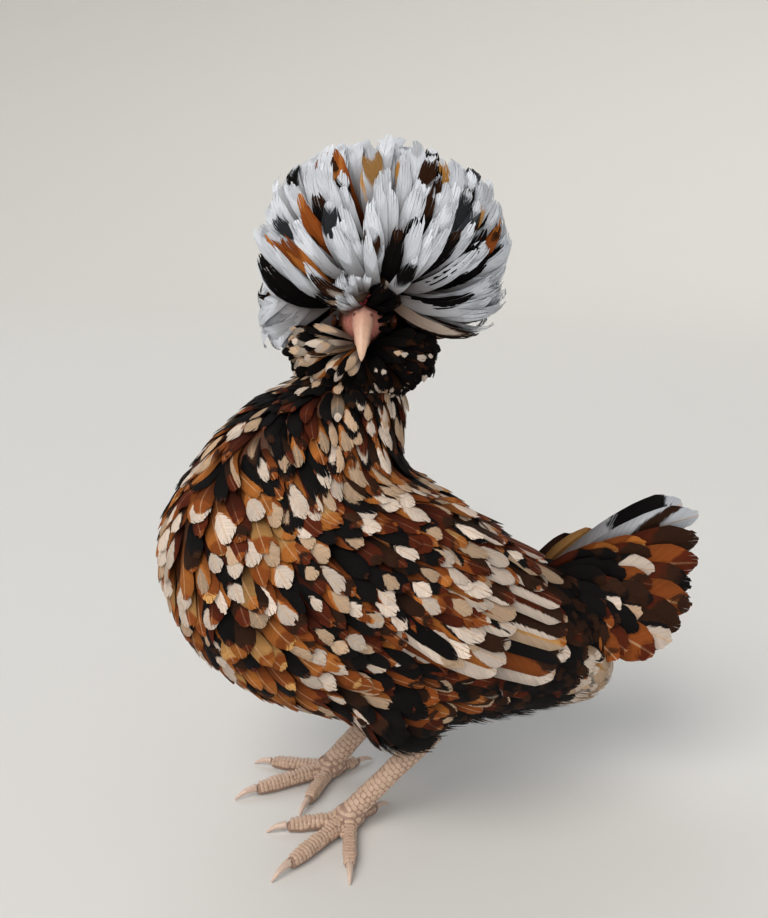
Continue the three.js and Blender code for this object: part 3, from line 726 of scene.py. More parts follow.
# Flight feathers and their greater coverts lie in rows over the flank
wingRows = [
    {"shape": "flight", "count": 9, "root": 4, "tip": 88, "shrink": 45, "low": -26, "high": 26, "tipLow": -21,
     "tipHigh": 17, "half": 8.2, "rootDepth": 2.2, "tipDepth": 8.6},
    {"shape": "flight", "count": 9, "root": -14, "tip": 48, "shrink": 26, "low": -27, "high": 27,
     "tipLow": -26, "tipHigh": 22, "half": 6.6, "rootDepth": 3.0, "tipDepth": 10.0},
    {"shape": "flight", "count": 4, "root": 10, "tip": 84, "shrink": 28, "low": 18, "high": 28, "tipLow": 2,
     "tipHigh": 22, "half": 6.8, "rootDepth": -1.5, "tipDepth": 9.0},
    {"shape": "contour", "count": 10, "root": -20, "tip": 30, "shrink": 20, "low": -27, "high": 30,
     "tipLow": -27, "tipHigh": 28, "half": 5.8, "rootDepth": 2.4, "tipDepth": 11.0},
    {"shape": "flight", "count": 2, "root": -34, "tip": 20, "shrink": 0, "low": -18, "high": -14,
     "tipLow": -28, "tipHigh": -23, "half": 4.6, "rootDepth": 4.0, "tipDepth": 12.4},
]
# Kinds from the lowest feather of a row to the highest
rowKinds = [
    "clean deep wine plain deep wine deep deep deep",
    "clean spangled deep barred spangled deep barred spangled deep",
    "deep wine spangled deep",
    "spangled spangled barred deep spangled spangled deep spangled barred spangled",
    "clean black",
]


def onFlank(side, y, z):
    hit, normal, _, _ = fleshTree.ray_cast(Vector(place((side * 160, y, z))), Vector((-side, 0, 0)))
    if hit is None:
        hit, normal, _, _ = fleshTree.find_nearest(Vector(place((side * 50, y, z))))
    return np.array(hit), np.array(normal)


steps = 12
stops = np.linspace(0, 1, steps)
for sideName, side in sides.items():
    pieces = []
    for r, row in enumerate(wingRows):
        count = row["count"]
        share = (np.arange(count) + 0.5) / count if count < 3 else np.linspace(0, 1, count)
        tipU = row["tip"] - row["shrink"] * (share - 0.25) ** 2 + draw.normal(0, 1.5, count)
        path = np.zeros((count, steps, 3))
        out = np.zeros_like(path)
        for i in range(count):
            low = blend(row["low"], row["high"], share[i])
            high = blend(row["tipLow"], row["tipHigh"], share[i])
            for k, s in enumerate(stops):
                y, z = fromWing(blend(row["root"], tipU[i], s), blend(low, high, s) - 3 * s * s)
                hit, normal = onFlank(side, y, z)
                path[i, k] = hit + normal * blend(row["rootDepth"], row["tipDepth"], s) * mm
                out[i, k] = normal
        for _ in range(3):
            out[:, 1:-1] = unit(out[:, :-2] + out[:, 1:-1] * 2 + out[:, 2:])
            path[:, 1:-1] = path[:, :-2] * 0.25 + path[:, 1:-1] * 0.5 + path[:, 2:] * 0.25
        look = looksOf(np.array(rowKinds[r].split()))
        if row["shape"] == "flight":
            # The hindmost show a white outer web, and their marks sit nearer the tip
            outerWeb = (share > 0.3) & (count > 2) & (draw.random(count) < 0.75)
            look["habit"][:, 1] = np.where(outerWeb, side * draw.normal(0.55, 0.1, count), 3.0)
            look["marks"][:, :2] += 0.16
            look["tip"][:] = drawn(["white", "white", "cream"], count)
        look["habit"][:, 0] = 0
        spots = np.stack([0.1 + 0.8 * share, np.full(count, 0.1 + 0.2 * r)], -1)
        half = row["half"] * mm * draw.normal(1, 0.05, count)
        pieces.append(vanes(f"{sideName}Row{r}", path, out, half, look, spots, row["shape"], 0.2 * side,
                            firmFeather))
    finished(joined(sideName + "FlightFeathers", pieces, firmFeather), "wing_feathers", sideName + "_wing")
print("wings")

# Tail: its feathers spread from one place inside the root, in two planes like a roof
tail = {"apex": (2, 100, 111), "yawTop": 2.5, "yawBottom": 19, "top": 29, "bottom": -14, "droop": 5}
tailTiers = [
    {"count": 8, "top": 29, "bottom": -14, "from": 18, "longest": 116, "shortest": 84, "half": 12, "lift": 0,
     "kinds": "flagged wine deep wine deep wine tipped deep"},
    {"count": 9, "top": 33, "bottom": -18, "from": 14, "longest": 84, "shortest": 66, "half": 9, "lift": 3,
     "kinds": "plain wine tipped deep wine tipped wine deep deep"},
    {"count": 9, "top": 37, "bottom": -22, "from": 12, "longest": 66, "shortest": 56, "half": 8.4,
     "lift": 5.5, "kinds": "plain wine black wine tipped black deep wine plain"},
    {"count": 8, "top": 42, "bottom": -24, "from": 10, "longest": 52, "shortest": 46, "half": 7.6, "lift": 8,
     "kinds": "wine black black black black wine deep deep"},
]


def tailPlace(distance, elevation):
    share = (elevation - tail["top"]) / (tail["bottom"] - tail["top"])
    yaw = np.radians(blend(tail["yawTop"], tail["yawBottom"], share))
    rise = np.radians(elevation)
    ahead = np.stack([np.sin(yaw) * np.cos(rise), np.cos(yaw) * np.cos(rise), np.sin(rise)], -1)
    return np.array(tail["apex"]) + ahead * np.asarray(distance)[..., None]


pieces = []
for t, tier in enumerate(tailTiers):
    count = tier["count"]
    share = np.linspace(0, 1, count)
    for sideName, side in sides.items():
        spread = blend(tier["top"], tier["bottom"], share) + draw.normal(0, 1.2, count) * (t > 0)
        rise = spread[:, None] - tail["droop"] * stops[None] ** 2 * (1 + 0.5 * t)
        far = (blend(tier["longest"], tier["shortest"], share) - tier["from"]) * draw.normal(1, 0.03, count)
        distance = tier["from"] + far[:, None] * stops[None]
        along = tailPlace(distance + 1, rise) - tailPlace(distance - 1, rise)
        across = tailPlace(distance, rise - 1) - tailPlace(distance, rise + 1)
        out = unit(np.cross(across, along))
        path = tailPlace(distance, rise) + out * (tier["lift"] * np.sqrt(stops))[None, :, None]
        mirror = np.array([side, 1, 1])
        look = looksOf(np.array(tier["kinds"].split()))
        look["marks"][:, :2] += 0.08
        spots = np.stack([0.1 + 0.8 * share, np.full(count, 0.1 + 0.2 * t + (0.1 if side < 0 else 0))], -1)
        pieces.append(vanes(
            f"{sideName}Tier{t}", place(path * mirror), out * mirror, tier["half"] * mm + 0 * share, look,
            spots, "tail",
            -np.radians(blend(38, 12, np.minimum(2 * share, 1))) * side, firmFeather,
        ))
finished(joined("tailFeathers", pieces, firmFeather), "tail_feathers", "tail")
print("tail")

# The head's own axes: she looks to her left, a little forward and down
head = {"turn": 76, "pitch": 10, "eyeForward": 2}
turn, pitch = math.radians(head["turn"]), math.radians(head["pitch"])
flatForward = np.array([math.sin(turn), -math.cos(turn), 0])
headLeft = np.array([math.cos(turn), math.sin(turn), 0])
headForward = flatForward * math.cos(pitch) - np.array([0, 0, math.sin(pitch)])
headUp = flatForward * math.sin(pitch) + np.array([0, 0, math.cos(pitch)])
headAxes = np.stack([headForward, headLeft, headUp])
eyeCentres = {name: np.array(sum(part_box(name + "_eye"), Vector())) / 2 for name in sides}
headCentre = (eyeCentres["left"] + eyeCentres["right"]) / 2 - headForward * head["eyeForward"] * mm


def onHead(local):
    return headCentre + (np.asarray(local, float) * mm) @ headAxes


# Crest, beard and face: globes of feathers that flow away from a pole at the beak and then hang
closing = {"full": 0, "drop": 0, "droop": 0}  # a globe that closes in below its middle
crest = {
    "centre": (-7, 8, 33), "front": 34, "back": 52, "wide": 61, "tall": 50, "pole": 36,
    "rings": np.arange(2, 172, 12), "reach": 56, "gap": 4.3, "half": 4.1, "root": 0.5, "top": 1.0,
    "sag": 1.6, "steps": 12, "uneven": 0.14, "stray": 4.5, "full": 0.5, "drop": 0.45, "droop": 0.9,
}
beard = {
    "centre": (3, 0, -15), "front": 25, "back": 24, "wide": 37, "tall": 26, "pole": -24,
    "rings": np.arange(10, 150, 8), "reach": 36, "gap": 3.7, "half": 2.6, "root": 0.72, "top": 1.02,
    "sag": 1.2, "steps": 9, "uneven": 0.25, "stray": 3, **closing,
}
face = {
    "centre": (-1, 0, 0), "front": 23, "back": 23, "wide": 17, "tall": 16.5, "pole": 0,
    "rings": np.arange(24, 136, 6), "reach": 26, "gap": 2.9, "half": 1.6, "root": 0.9, "top": 1.14,
    "sag": 0.5, "steps": 7, "uneven": 0.2, "stray": 2, **closing,
}


def globeFeathers(form, keeps):
    # Ways are (forward, left, up) in the head's axes
    down = math.radians(form["pole"])
    pole = np.array([math.cos(down), 0, -math.sin(down)])
    crown = np.array([math.sin(down), 0, math.cos(down)])
    size = (form["wide"] + form["tall"]) / 2
    rootWay, flow = [], []
    for k, ring in enumerate(form["rings"]):
        hang = smooth(60, 140, ring)
        girth = 2 * math.pi * size * math.sin(min(math.radians(ring + form["reach"] / 2), 2.7))
        count = max(5, round(girth / form["gap"] / (1 + 0.25 * hang)))
        turns = (np.arange(count) + 0.5 * (k % 2) + draw.normal(0, 0.2, count)) / count * 2 * math.pi
        polar = np.radians(ring + draw.normal(0, form["stray"], count))[:, None]
        aside = np.cos(turns)[:, None] * crown + np.sin(turns)[:, None] * np.array([0, -1, 0])
        here = pole * np.cos(polar) + aside * np.sin(polar)
        away = aside * np.cos(polar) - pole * np.sin(polar)
        hanging = np.array([0, 0, -1]) + here * here[:, 2:]
        # Low on her right side the feathers droop
        hang = hang + form["droop"] * smooth(0.3, 0.75, -here[:, 1:2]) * smooth(0.4, -0.1, here[:, 2:])
        rootWay.append(here)
        flow.append(unit(away + hanging * form["sag"] * hang))
    rootWay, flow = np.concatenate(rootWay), np.concatenate(flow)
    flow = unit(flow + np.cross(rootWay, flow) * draw.normal(0, form["uneven"], (len(flow), 1)))
    arc = math.radians(form["reach"]) * draw.normal(1, form["uneven"], (len(flow), 1))
    arc = arc * np.linspace(0, 1, form["steps"])
    way = rootWay[:, None] * np.cos(arc)[..., None] + flow[:, None] * np.sin(arc)[..., None]
    top = form["top"] * draw.normal(1, 0.03, (len(flow), 1))
    share = form["root"] + (top - form["root"]) * (1 - (1 - np.linspace(0, 1, form["steps"])) ** 2)
    front = np.where(way[..., 0] > 0, form["front"], form["back"])
    reach = np.stack([front, 0 * front + form["wide"], 0 * front + form["tall"]], -1).astype(float)
    # Below its middle a full globe hangs down like a curtain instead of closing in
    wider = 1 + form["full"] * np.clip(-way[..., 2], 0, 0.8) ** 2
    reach[..., :2] *= wider[..., None]
    # On her right side it hangs lower still
    reach[..., 2] *= 1 + form["drop"] * smooth(0.1, 0.6, -way[..., 1]) * (way[..., 2] < 0)
    local = np.array(form["centre"]) + way * reach * share[..., None]
    keep = keeps(local)
    local, out, rootWay = local[keep], unit(way[keep] / reach[keep]), rootWay[keep]
    spots = np.stack([np.arctan2(rootWay[:, 1], rootWay[:, 2]) / (2 * math.pi) * 0.98 + 0.5,
                      np.arccos(np.clip(rootWay[:, 0], -1, 1)) / math.pi * 0.98 + 0.01], -1)
    return onHead(local), out @ headAxes, local, spots


def clearOfEyes(local, sidesOnly):
    # True where a feather covers neither eye from the side,
    # nor the hollow that lets one eye be seen from ahead
    forward, left, up = local[..., 0], local[..., 1], local[..., 2]
    over = (((forward - 5) / 10) ** 2 + (up / 4.4) ** 2 < 1) & (np.abs(left) > 8)
    rise = up - 0.41 * (forward - 2)
    ahead = (rise / 3.4) ** 2 + ((left + 17.5) / 6.5) ** 2 < 1
    return ~np.any((over & sidesOnly) | (ahead & (forward > -4)), axis=1)


def inCrest(local):
    tip = local[:, -1]
    side = np.abs(tip[:, 1])
    lowest = np.where(tip[:, 1] < -28, -25, -15)
    hang = ((side > 29) | ((side > 18) & (tip[:, 0] < -2)) | (tip[:, 0] < -20)) & (tip[:, 2] > lowest)
    overFace = np.any((local[..., 2] < 3) & (local[..., 0] > 7) & (np.abs(local[..., 1]) < 24), axis=1)
    return ((tip[:, 2] > 4) | hang) & ~overFace & clearOfEyes(local, False)


def inBeard(local):
    tip, middle = local[:, -1], local[:, local.shape[1] // 2]
    beak = (np.abs(middle[:, 1]) < 4) & (middle[:, 2] > -12)
    highest = 2 + 4 * smooth(20, 27, np.abs(tip[:, 1]))
    low = (tip[:, 2] < highest) & (middle[:, 2] < highest + 1)
    return low & (tip[:, 0] > -26) & ~beak & clearOfEyes(local, True)


def onFace(local):
    tip, root = local[:, -1], local[:, 0]
    beak = (root[:, 0] > 12) & (np.abs(root[:, 1]) < 6.5) & (np.abs(root[:, 2]) < 9)
    return (root[:, 0] > -16) & ~beak & clearOfEyes(local, True)


# Dark and amber patches of the crest, as (left, up, half width) in millimetres from between the eyes
crestPatches = {
    "black": [(-28, 67, 3.2), (-24, 62, 2.6), (41, 46, 3), (49, 39, 4.6), (60, 35, 3.2), (28, 55, 2.8),
              (21, 48, 2.8), (15, 41, 3), (8, 34, 4.2), (7, 24, 4.6), (31, 23, 4.8), (41, 20, 4.8),
              (48, 22, 3.2),
              (51, 7, 4), (-43, 24, 4.6), (-37, 21, 4.2), (-30, 22, 3.6), (-32, 7, 3.8), (-6, 38, 2.4),
              (-17, 31, 3.2)],
    "flagged": [(31, 72, 2.8), (48, 59, 3.2), (49, 52, 3), (-17, 49, 2.6), (-35, 44, 3), (-4, 44, 2),
                (1, 47, 2), (23, 35, 3.4)],
    "gilded": [(-16, 73, 2.4), (60, 44, 2.4), (-26, 50, 3), (-34, 33, 4.2), (-30, 27, 3.6), (-42, 8, 4.2)],
    "ambered": [(4, 76, 3.2), (15, 72, 2), (37, 75, 2.6), (55, 57, 2.4), (-22, 45, 2.8)],
    "rimmed": [(-20, 20, 4), (-14, 15, 3.6), (-29, 16, 3.6)],
    "snowy": [(-7, 28, 5), (-9, 19, 4.6), (58, 25, 5.4), (63, 10, 5), (43, 31, 3.6), (-47, -6, 9),
              (-41, -14, 9), (-35, -18, 6)],
}


def crestKinds(local):
    tip = local[:, -3]
    mixed = clumps(local[:, -1] * mm, 15, 7.0) - 0.4 * smooth(-14, 4, tip[:, 0])
    low = smooth(9, -4, tip[:, 2])
    near = low * smooth(44, 32, np.abs(tip[:, 1]))
    shares = {
        "snowy": 1 - 0.9 * near,
        "flagged": np.clip(mixed - 0.35, 0, 1) * 0.9,
        "rimmed": 0.5 * low,
        "ambered": np.clip(-mixed - 1.0, 0, 1) * 0.6,
        "gilded": 0.1 * low,
        "black": 1.5 * near,
    }
    for kind, patches in crestPatches.items():
        for left, up, wide in patches:
            # A patch runs along the lie, away from the beak
            lead = unit(np.array([left, up + 6.0]))
            away = tip[:, 1:] - (left, up)
            lengthwise = away @ lead / 1.5
            sideways = away[:, 0] * lead[1] - away[:, 1] * lead[0]
            close = np.exp(-(lengthwise ** 2 + sideways ** 2) / wide ** 2 * 1.2) * (tip[:, 0] > -12)
            shares[kind] = shares[kind] + close * 6
    return chosen(len(local), shares)


def beardKinds(local):
    forward, left, up = local[:, -1].T
    ahead = smooth(-10, -2, forward)
    pale = smooth(-3, -9, left) * smooth(-30, -20, up) * ahead
    # Black feathers crowd round the eye's hollow, so that it shows as a dark almond: partly her black face
    # feathers, partly painted shade of the hollow
    hollowShade = np.exp(-(((left + 21) / 9) ** 2 + ((up + 3) / 4.5) ** 2) * 1.5)
    spangled = smooth(0, 8, left) * smooth(-8, -16, up) * ahead
    shares = {
        "ivory": pale * 4,
        "streak": pale * 2,
        "spoon": pale * 1.4 + (1 - ahead) * 0.8,
        "black": 1.8 - pale * 0.8 + hollowShade * 20,
        "tipped": 0.1 + spangled * 1.3,
        "rimmed": pale * 1.6,
        "dark": 0.5 + (1 - ahead),
    }
    return chosen(len(local), shares)


brow = {
    "centre": (5, 0, 13), "front": 20, "back": 20, "wide": 20, "tall": 16, "pole": 30,
    "rings": np.arange(12, 110, 9), "reach": 46, "gap": 3.6, "half": 2.3, "root": 0.55, "top": 1.12,
    "sag": 0.2, "steps": 9, "uneven": 0.25, "stray": 2, **closing,
}


def onBrow(local):
    tip, middle = local[:, -1], local[:, local.shape[1] // 2]
    overComb = (np.abs(middle[:, 1]) < 4.2) & (middle[:, 0] > 12) & (middle[:, 2] < 20)
    return (tip[:, 2] > 9) & (middle[:, 2] > 9) & (tip[:, 0] > -16) & ~overComb & clearOfEyes(local, False)


def browKinds(local):
    tip = local[:, -1]
    white = smooth(7, 2, tip[:, 1]) * smooth(-22, -13, tip[:, 1]) * smooth(32, 25, tip[:, 2])
    return chosen(len(local), {"snowy": white * 9 + 0.2, "black": 1.6 - white, "rimmed": 0.3 + 0 * white})


for form, keeps, kindsOf, shapeName, name, slot, replaced in (
    (crest, inCrest, crestKinds, "crest", "crestFeathers", "crest_feathers", "crest"),
    (brow, onBrow, browKinds, "puff", "browFeathers", "crest_feathers", "crest"),
    (beard, inBeard, beardKinds, "hackle", "beardFeathers", "beard_feathers", "beard"),
    (face, onFace, beardKinds, "face", "faceFeathers", "face_skin", "head"),
):
    path, out, local, spots = globeFeathers(form, keeps)
    lean = np.where(local[:, 0, 1] > 0, 1, -1) * 0.13 + draw.normal(0, 0.1, len(local))
    half = form["half"] * mm * draw.normal(1, 0.12, len(local))
    piece = vanes(name, path, out, half, looksOf(kindsOf(local)), spots, shapeName, lean, downyFeather)
    finished(piece, slot, replaced)
    print(name, len(local), "feathers,", len(piece.data.polygons) * 2, "triangles")

# Bare skin: pink and matt on the face by the beak, and elsewhere in the coat's dark colours: under the
# feathers as their own colours, and on the lids as painted shade of the eye's hollow
henSkin, tree, shader = newMaterial("henSkin", Roughness=0.6, Specular_IOR_Level=0.35)
spot = addNode(tree, "TexCoord").outputs["Object"]
mottle = addNode(tree, "TexNoise", Vector=spot, Scale=90.0, Detail=3.0).outputs["Fac"]
fine = addNode(tree, "TexNoise", Vector=spot, Scale=900.0, Detail=2.0).outputs["Fac"]
coatToneAndLidShade = addNode(tree, "Mix", {"data_type": "RGBA"}, i0=mottle, i6=(*tones["umber"], 1),
                   i7=(*tones["orange"] * 0.6, 1)).outputs[2]
bare = addNode(tree, "Mix", {"data_type": "RGBA"}, i0=fine, i6=(*linear("94483E"), 1),
               i7=(*linear("C98A78"), 1)).outputs[2]
away = addNode(tree, "VectorMath", {"operation": "DISTANCE"}, i0=spot,
               i1=tuple(onHead((16, 0, 2)))).outputs["Value"]
here = addNode(tree, "MapRange", Value=away, From_Min=0.0115, From_Max=0.009).outputs["Result"]
colour = addNode(tree, "Mix", {"data_type": "RGBA"}, i0=here, i6=coatToneAndLidShade, i7=bare).outputs[2]
tree.links.new(colour, shader.inputs["Base Color"])
tree.links.new(addNode(tree, "Bump", Strength=0.4, Distance=0.0004, Height=fine).outputs["Normal"],
               shader.inputs["Normal"])
skinPoints, _ = arrays(skinMesh)
skinAway = np.linalg.norm(skinPoints - onHead((2, 0, 0)), axis=1) / mm
skinZ = measured(skinPoints)[2]
skinDepth = blend(0.9, 4.6, smooth(22, 40, skinAway)) * blend(0.45, 1, smooth(40, 62, skinZ))
shifted(skinMesh, -skinDepth * mm)
skinMesh.materials.append(henSkin)
finished(skinPiece, "face_skin", *flesh)
print("skin")

# Beak: lofted along its stations in the head's own axes, with raised nostrils
beak = {
    "upper": [(8, 8.6, -2.6, 5.3), (14, 9.4, -3.0, 5.9), (19, 9.3, -3.4, 6.1), (24, 7.8, -4.0, 5.5),
              (29, 4.4, -5.2, 4.5), (33, 0.4, -6.8, 3.5), (36, -4.0, -8.6, 2.5), (38, -8.0, -10.4, 1.4),
              (38.7, -10.2, -11.2, 0.35)],
    "lower": [(9, -2.0, -8.0, 4.5), (20, -2.6, -8.6, 4.8), (28, -3.8, -8.8, 3.5), (32, -5.4, -9.0, 2.1),
              (33.4, -6.6, -8.8, 0.5)],
    "nostril": (19.5, 4.2, 6.8), "rimRadius": 3.2, "rimHeight": 1.1, "slit": (21.6, 5.0, 7.2),
    "slitDepth": 1.6,
}


def loft(name, stations, around, rows, material, ridge=0.0, shapeAt=None):
    table = np.array(stations, float)
    t = np.linspace(0, 1, rows) ** 0.8
    at = np.interp(t, np.linspace(0, 1, len(table)), np.arange(len(table)))
    top, bottom, half = [np.interp(at, np.arange(len(table)), table[:, c]) for c in (1, 2, 3)]
    ahead = np.interp(at, np.arange(len(table)), table[:, 0])
    for values in (top, bottom, half, ahead):
        for _ in range(6):
            values[1:-1] = values[:-2] * 0.25 + values[1:-1] * 0.5 + values[2:] * 0.25
    turn = np.linspace(0, 2 * math.pi, around, endpoint=False)
    keel = 1 - ridge * np.clip(np.cos(turn), 0, 1) ** 3
    left = half[:, None] * np.sin(turn) * keel * 0.87
    high = (top + bottom)[:, None] / 2 + (top - bottom)[:, None] / 2 * np.cos(turn)
    local = np.stack([np.broadcast_to(ahead[:, None], left.shape), left, high], -1)
    if shapeAt is not None:
        local = shapeAt(local)
    caps = [tuple(range(around))[::-1], tuple((rows - 1) * around + k for k in range(around))]
    mesh = closedMesh(name, onHead(local.reshape(-1, 3)), ringFaces(rows, around) + caps)
    return asObject(name, mesh, material)


def withNostrils(local):
    mirrored = local * np.array([1, 0, 1]) + np.abs(local) * np.array([0, 1, 0])
    outward = local - local * np.array([1, 0, 0]) - np.array([0, 0, 2.0])
    outward = outward / np.maximum(np.linalg.norm(outward, axis=-1, keepdims=True), 0.1)
    rim = np.exp(-np.sum(((mirrored - beak["nostril"]) / (beak["rimRadius"], 1.9, 1.9)) ** 2, -1))
    slit = np.exp(-np.sum(((mirrored - beak["slit"]) / (1.7, 0.9, 0.9)) ** 2, -1))
    return local + outward * (rim * beak["rimHeight"] - slit * beak["slitDepth"])[..., None]


# Beak horn: satin and pale pink, yellowing to the tip, with faint growth lines; the nostril slits are painted
# dark, as shade inside them
beakHorn, tree, shader = newMaterial("beakHorn", Roughness=0.36, Specular_IOR_Level=0.5,
                                     Subsurface_Weight=0.1, Subsurface_Radius=(0.002, 0.001, 0.0008))
spot = addNode(tree, "TexCoord").outputs["Object"]
fromHead = addNode(tree, "VectorMath", {"operation": "SUBTRACT"}, i0=spot, i1=tuple(headCentre)).outputs[0]
ahead = addNode(tree, "VectorMath", {"operation": "DOT_PRODUCT"}, i0=fromHead,
                i1=tuple(headForward)).outputs["Value"]
tipward = addNode(tree, "MapRange", Value=ahead, From_Min=0.016, From_Max=0.038).outputs["Result"]
growth = addNode(tree, "TexNoise", Vector=spot, Scale=420.0, Detail=3.0).outputs["Fac"]
colour = addNode(tree, "Mix", {"data_type": "RGBA"}, i0=tipward, i6=(*linear("D69A8A"), 1),
                 i7=(*linear("E6BFA2"), 1)).outputs[2]
colour = addNode(tree, "Mix", {"data_type": "RGBA", "blend_type": "MULTIPLY"}, i0=0.35, i6=colour,
                 i7=addNode(tree, "CombineColor", Red=growth, Green=growth, Blue=growth).outputs[0],
                 ).outputs[2]
# Painted shade inside each nostril slit
for side in sides.values():
    hole = addNode(tree, "VectorMath", {"operation": "DISTANCE"}, i0=spot,
                   i1=tuple(onHead(np.array(beak["slit"]) * (1, side, 1)))).outputs["Value"]
    slitShade = addNode(tree, "MapRange", Value=hole, From_Min=0.0021, From_Max=0.0011).outputs["Result"]
    colour = addNode(tree, "Mix", {"data_type": "RGBA"}, i0=slitShade, i6=colour,
                     i7=(*linear("5A2420"), 1)).outputs[2]
tree.links.new(colour, shader.inputs["Base Color"])
tree.links.new(addNode(tree, "Bump", Strength=0.15, Distance=0.0003, Height=growth).outputs["Normal"],
               shader.inputs["Normal"])
finished(loft("upperBeak", beak["upper"], 40, 56, beakHorn, 0.35, withNostrils), "beak_horn", "upper_beak")
finished(loft("lowerBeak", beak["lower"], 32, 30, beakHorn), "beak_horn", "lower_beak")

# Eyes: wet and glossy, a black pupil in a red-brown iris with fine spokes
eye = {"pupil": 0.42, "iris": 0.86, "cornea": 0.35, "forward": 0.3}
wetEye, tree, shader = newMaterial("wetEye", Roughness=0.06, Coat_Weight=1.0, Coat_Roughness=0.02)
gaze = addNode(tree, "Attribute", {"attribute_name": "gaze"}).outputs["Fac"]
spokes = addNode(tree, "TexNoise", Vector=addNode(tree, "TexCoord").outputs["Object"],
                 Scale=1600.0, Detail=2.0).outputs["Fac"]
ring = addNode(tree, "Mix", {"data_type": "RGBA"}, i0=spokes, i6=(*linear("4A1A0C"), 1),
               i7=(*linear("A5502A"), 1)).outputs[2]
inPupil = addNode(tree, "MapRange", Value=gaze, From_Min=eye["pupil"], From_Max=eye["pupil"] - 0.04)
pastIris = addNode(tree, "MapRange", Value=gaze, From_Min=eye["iris"] - 0.05, From_Max=eye["iris"] + 0.05)
ring = addNode(tree, "Mix", {"data_type": "RGBA"}, i0=inPupil.outputs["Result"], i6=ring,
               i7=(0.003, 0.003, 0.003, 1)).outputs[2]
ring = addNode(tree, "Mix", {"data_type": "RGBA"}, i0=pastIris.outputs["Result"], i6=ring,
               i7=(*linear("2A1512"), 1)).outputs[2]
tree.links.new(ring, shader.inputs["Base Color"])
for sideName, side in sides.items():
    low, high = [np.array(corner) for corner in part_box(sideName + "_eye")]
    radius = (high - low).max() / 2
    axis = unit(headLeft * side + headForward * eye["forward"])
    ball = bmesh.new()
    bmesh.ops.create_uvsphere(ball, u_segments=40, v_segments=24, radius=radius)
    turned = Vector(axis).to_track_quat("Z", "Y").to_matrix().to_4x4()
    ball.transform(Matrix.Translation(eyeCentres[sideName]) @ turned)
    mesh = meshFrom(sideName + "Eye", ball)
    points, _ = arrays(mesh)
    angle = np.arccos(np.clip(unit(points - eyeCentres[sideName]) @ axis, -1, 1))
    points += axis * (eye["cornea"] * mm * np.exp(-(angle / 0.6) ** 2))[:, None]
    mesh.vertices.foreach_set("co", points.reshape(-1).astype(np.float32))
    mesh.attributes.new("gaze", "FLOAT", "POINT").data.foreach_set("value", angle.astype(np.float32))
    shadeSmooth(mesh)
    finished(asObject(sideName + "Eye", mesh, wetEye), "eye", sideName + "_eye")

# Lids: a thin fold of skin round each eye, creased and a little almond-shaped
lid = {"radius": 4.5, "thick": 0.95, "out": 2.5, "squash": 0.8, "creases": 13, "around": 72, "section": 14}
pieces = []
for sideName, side in sides.items():
    axis = unit(headLeft * side + headForward * eye["forward"])
    lengthwise = unit(headForward - axis * (headForward @ axis))
    upright = np.cross(lengthwise, axis) * (-side)
    upright = upright * np.sign(upright @ headUp)
    turn = np.linspace(0, 2 * math.pi, lid["around"], endpoint=False)[:, None]
    swell = np.linspace(0, 2 * math.pi, lid["section"], endpoint=False)[None]
    thick = lid["thick"] * (1 + 0.12 * np.sin(turn * lid["creases"]) + 0.1 * np.sin(turn * 5 + 1))
    ringOut = lid["radius"] + thick * np.cos(swell)
    points = (
        eyeCentres[sideName] + axis * lid["out"] * mm
        + (ringOut * np.cos(turn) * 1.06 * mm)[..., None] * lengthwise
        + (ringOut * np.sin(turn) * lid["squash"] * mm)[..., None] * upright
        + (thick * np.sin(swell) * mm)[..., None] * axis
    ).reshape(-1, 3)
    mesh = closedMesh(sideName + "Lid", points, ringFaces(lid["around"], lid["section"], True))
    # The lids take the skin's dark coat tone, not pink: painted shade of the hollow round the eye
    pieces.append(asObject(sideName + "Lid", mesh, henSkin))
finished(joined("eyeLids", pieces, henSkin), "face_skin", "head")

# Comb: two small fleshy horns, dark red, waxy and pimpled
combFlesh, tree, shader = newMaterial("combFlesh", Roughness=0.45, Base_Color=(*linear("7E1D20"), 1),
                                      Subsurface_Weight=0.15, Subsurface_Radius=(0.002, 0.0006, 0.0004))
pimples = addNode(tree, "TexVoronoi", Vector=addNode(tree, "TexCoord").outputs["Object"],
                  Scale=900.0).outputs["Distance"]
tree.links.new(addNode(tree, "Bump", Strength=0.6, Distance=0.0004, Height=pimples).outputs["Normal"],
               shader.inputs["Normal"])


def rounded(names, levels, swell=0.0):
    shape = bmesh.new()
    for name in names:
        shape.from_mesh(nodes[name].data)
    bmesh.ops.remove_doubles(shape, verts=shape.verts, dist=1e-5)
    piece = linked("rounded", meshFrom("rounded", shape))
    piece.modifiers.new("Subdivision", "SUBSURF").levels = levels
    mesh = evaluated(piece)
    shifted(mesh, swell)
    shadeSmooth(mesh)
    return mesh


mesh = rounded(["comb"], 3, 0.1 * mm)
points, _ = arrays(mesh)
lumps = np.array([noise.noise(Vector(p / (1.3 * mm))) for p in points])
shifted(mesh, lumps * 0.35 * mm)
finished(asObject("fleshComb", mesh, combFlesh), "comb", "comb")
print("face")

# Feet: one skin over the shank and toes, with scutes set along them
foot = {
    "hock": (29, 44, 54), "ball": (25, 0, 8), "shift": 5, "turn": {"left": 38, "right": -14},
    "toes": {"middle": (46, 0), "inner": (33, -42), "outer": (36, 40), "hind": (20, 172)},
    "toePitch": 2.2, "shankPitch": 2.7, "unevenness": 0.12,
}
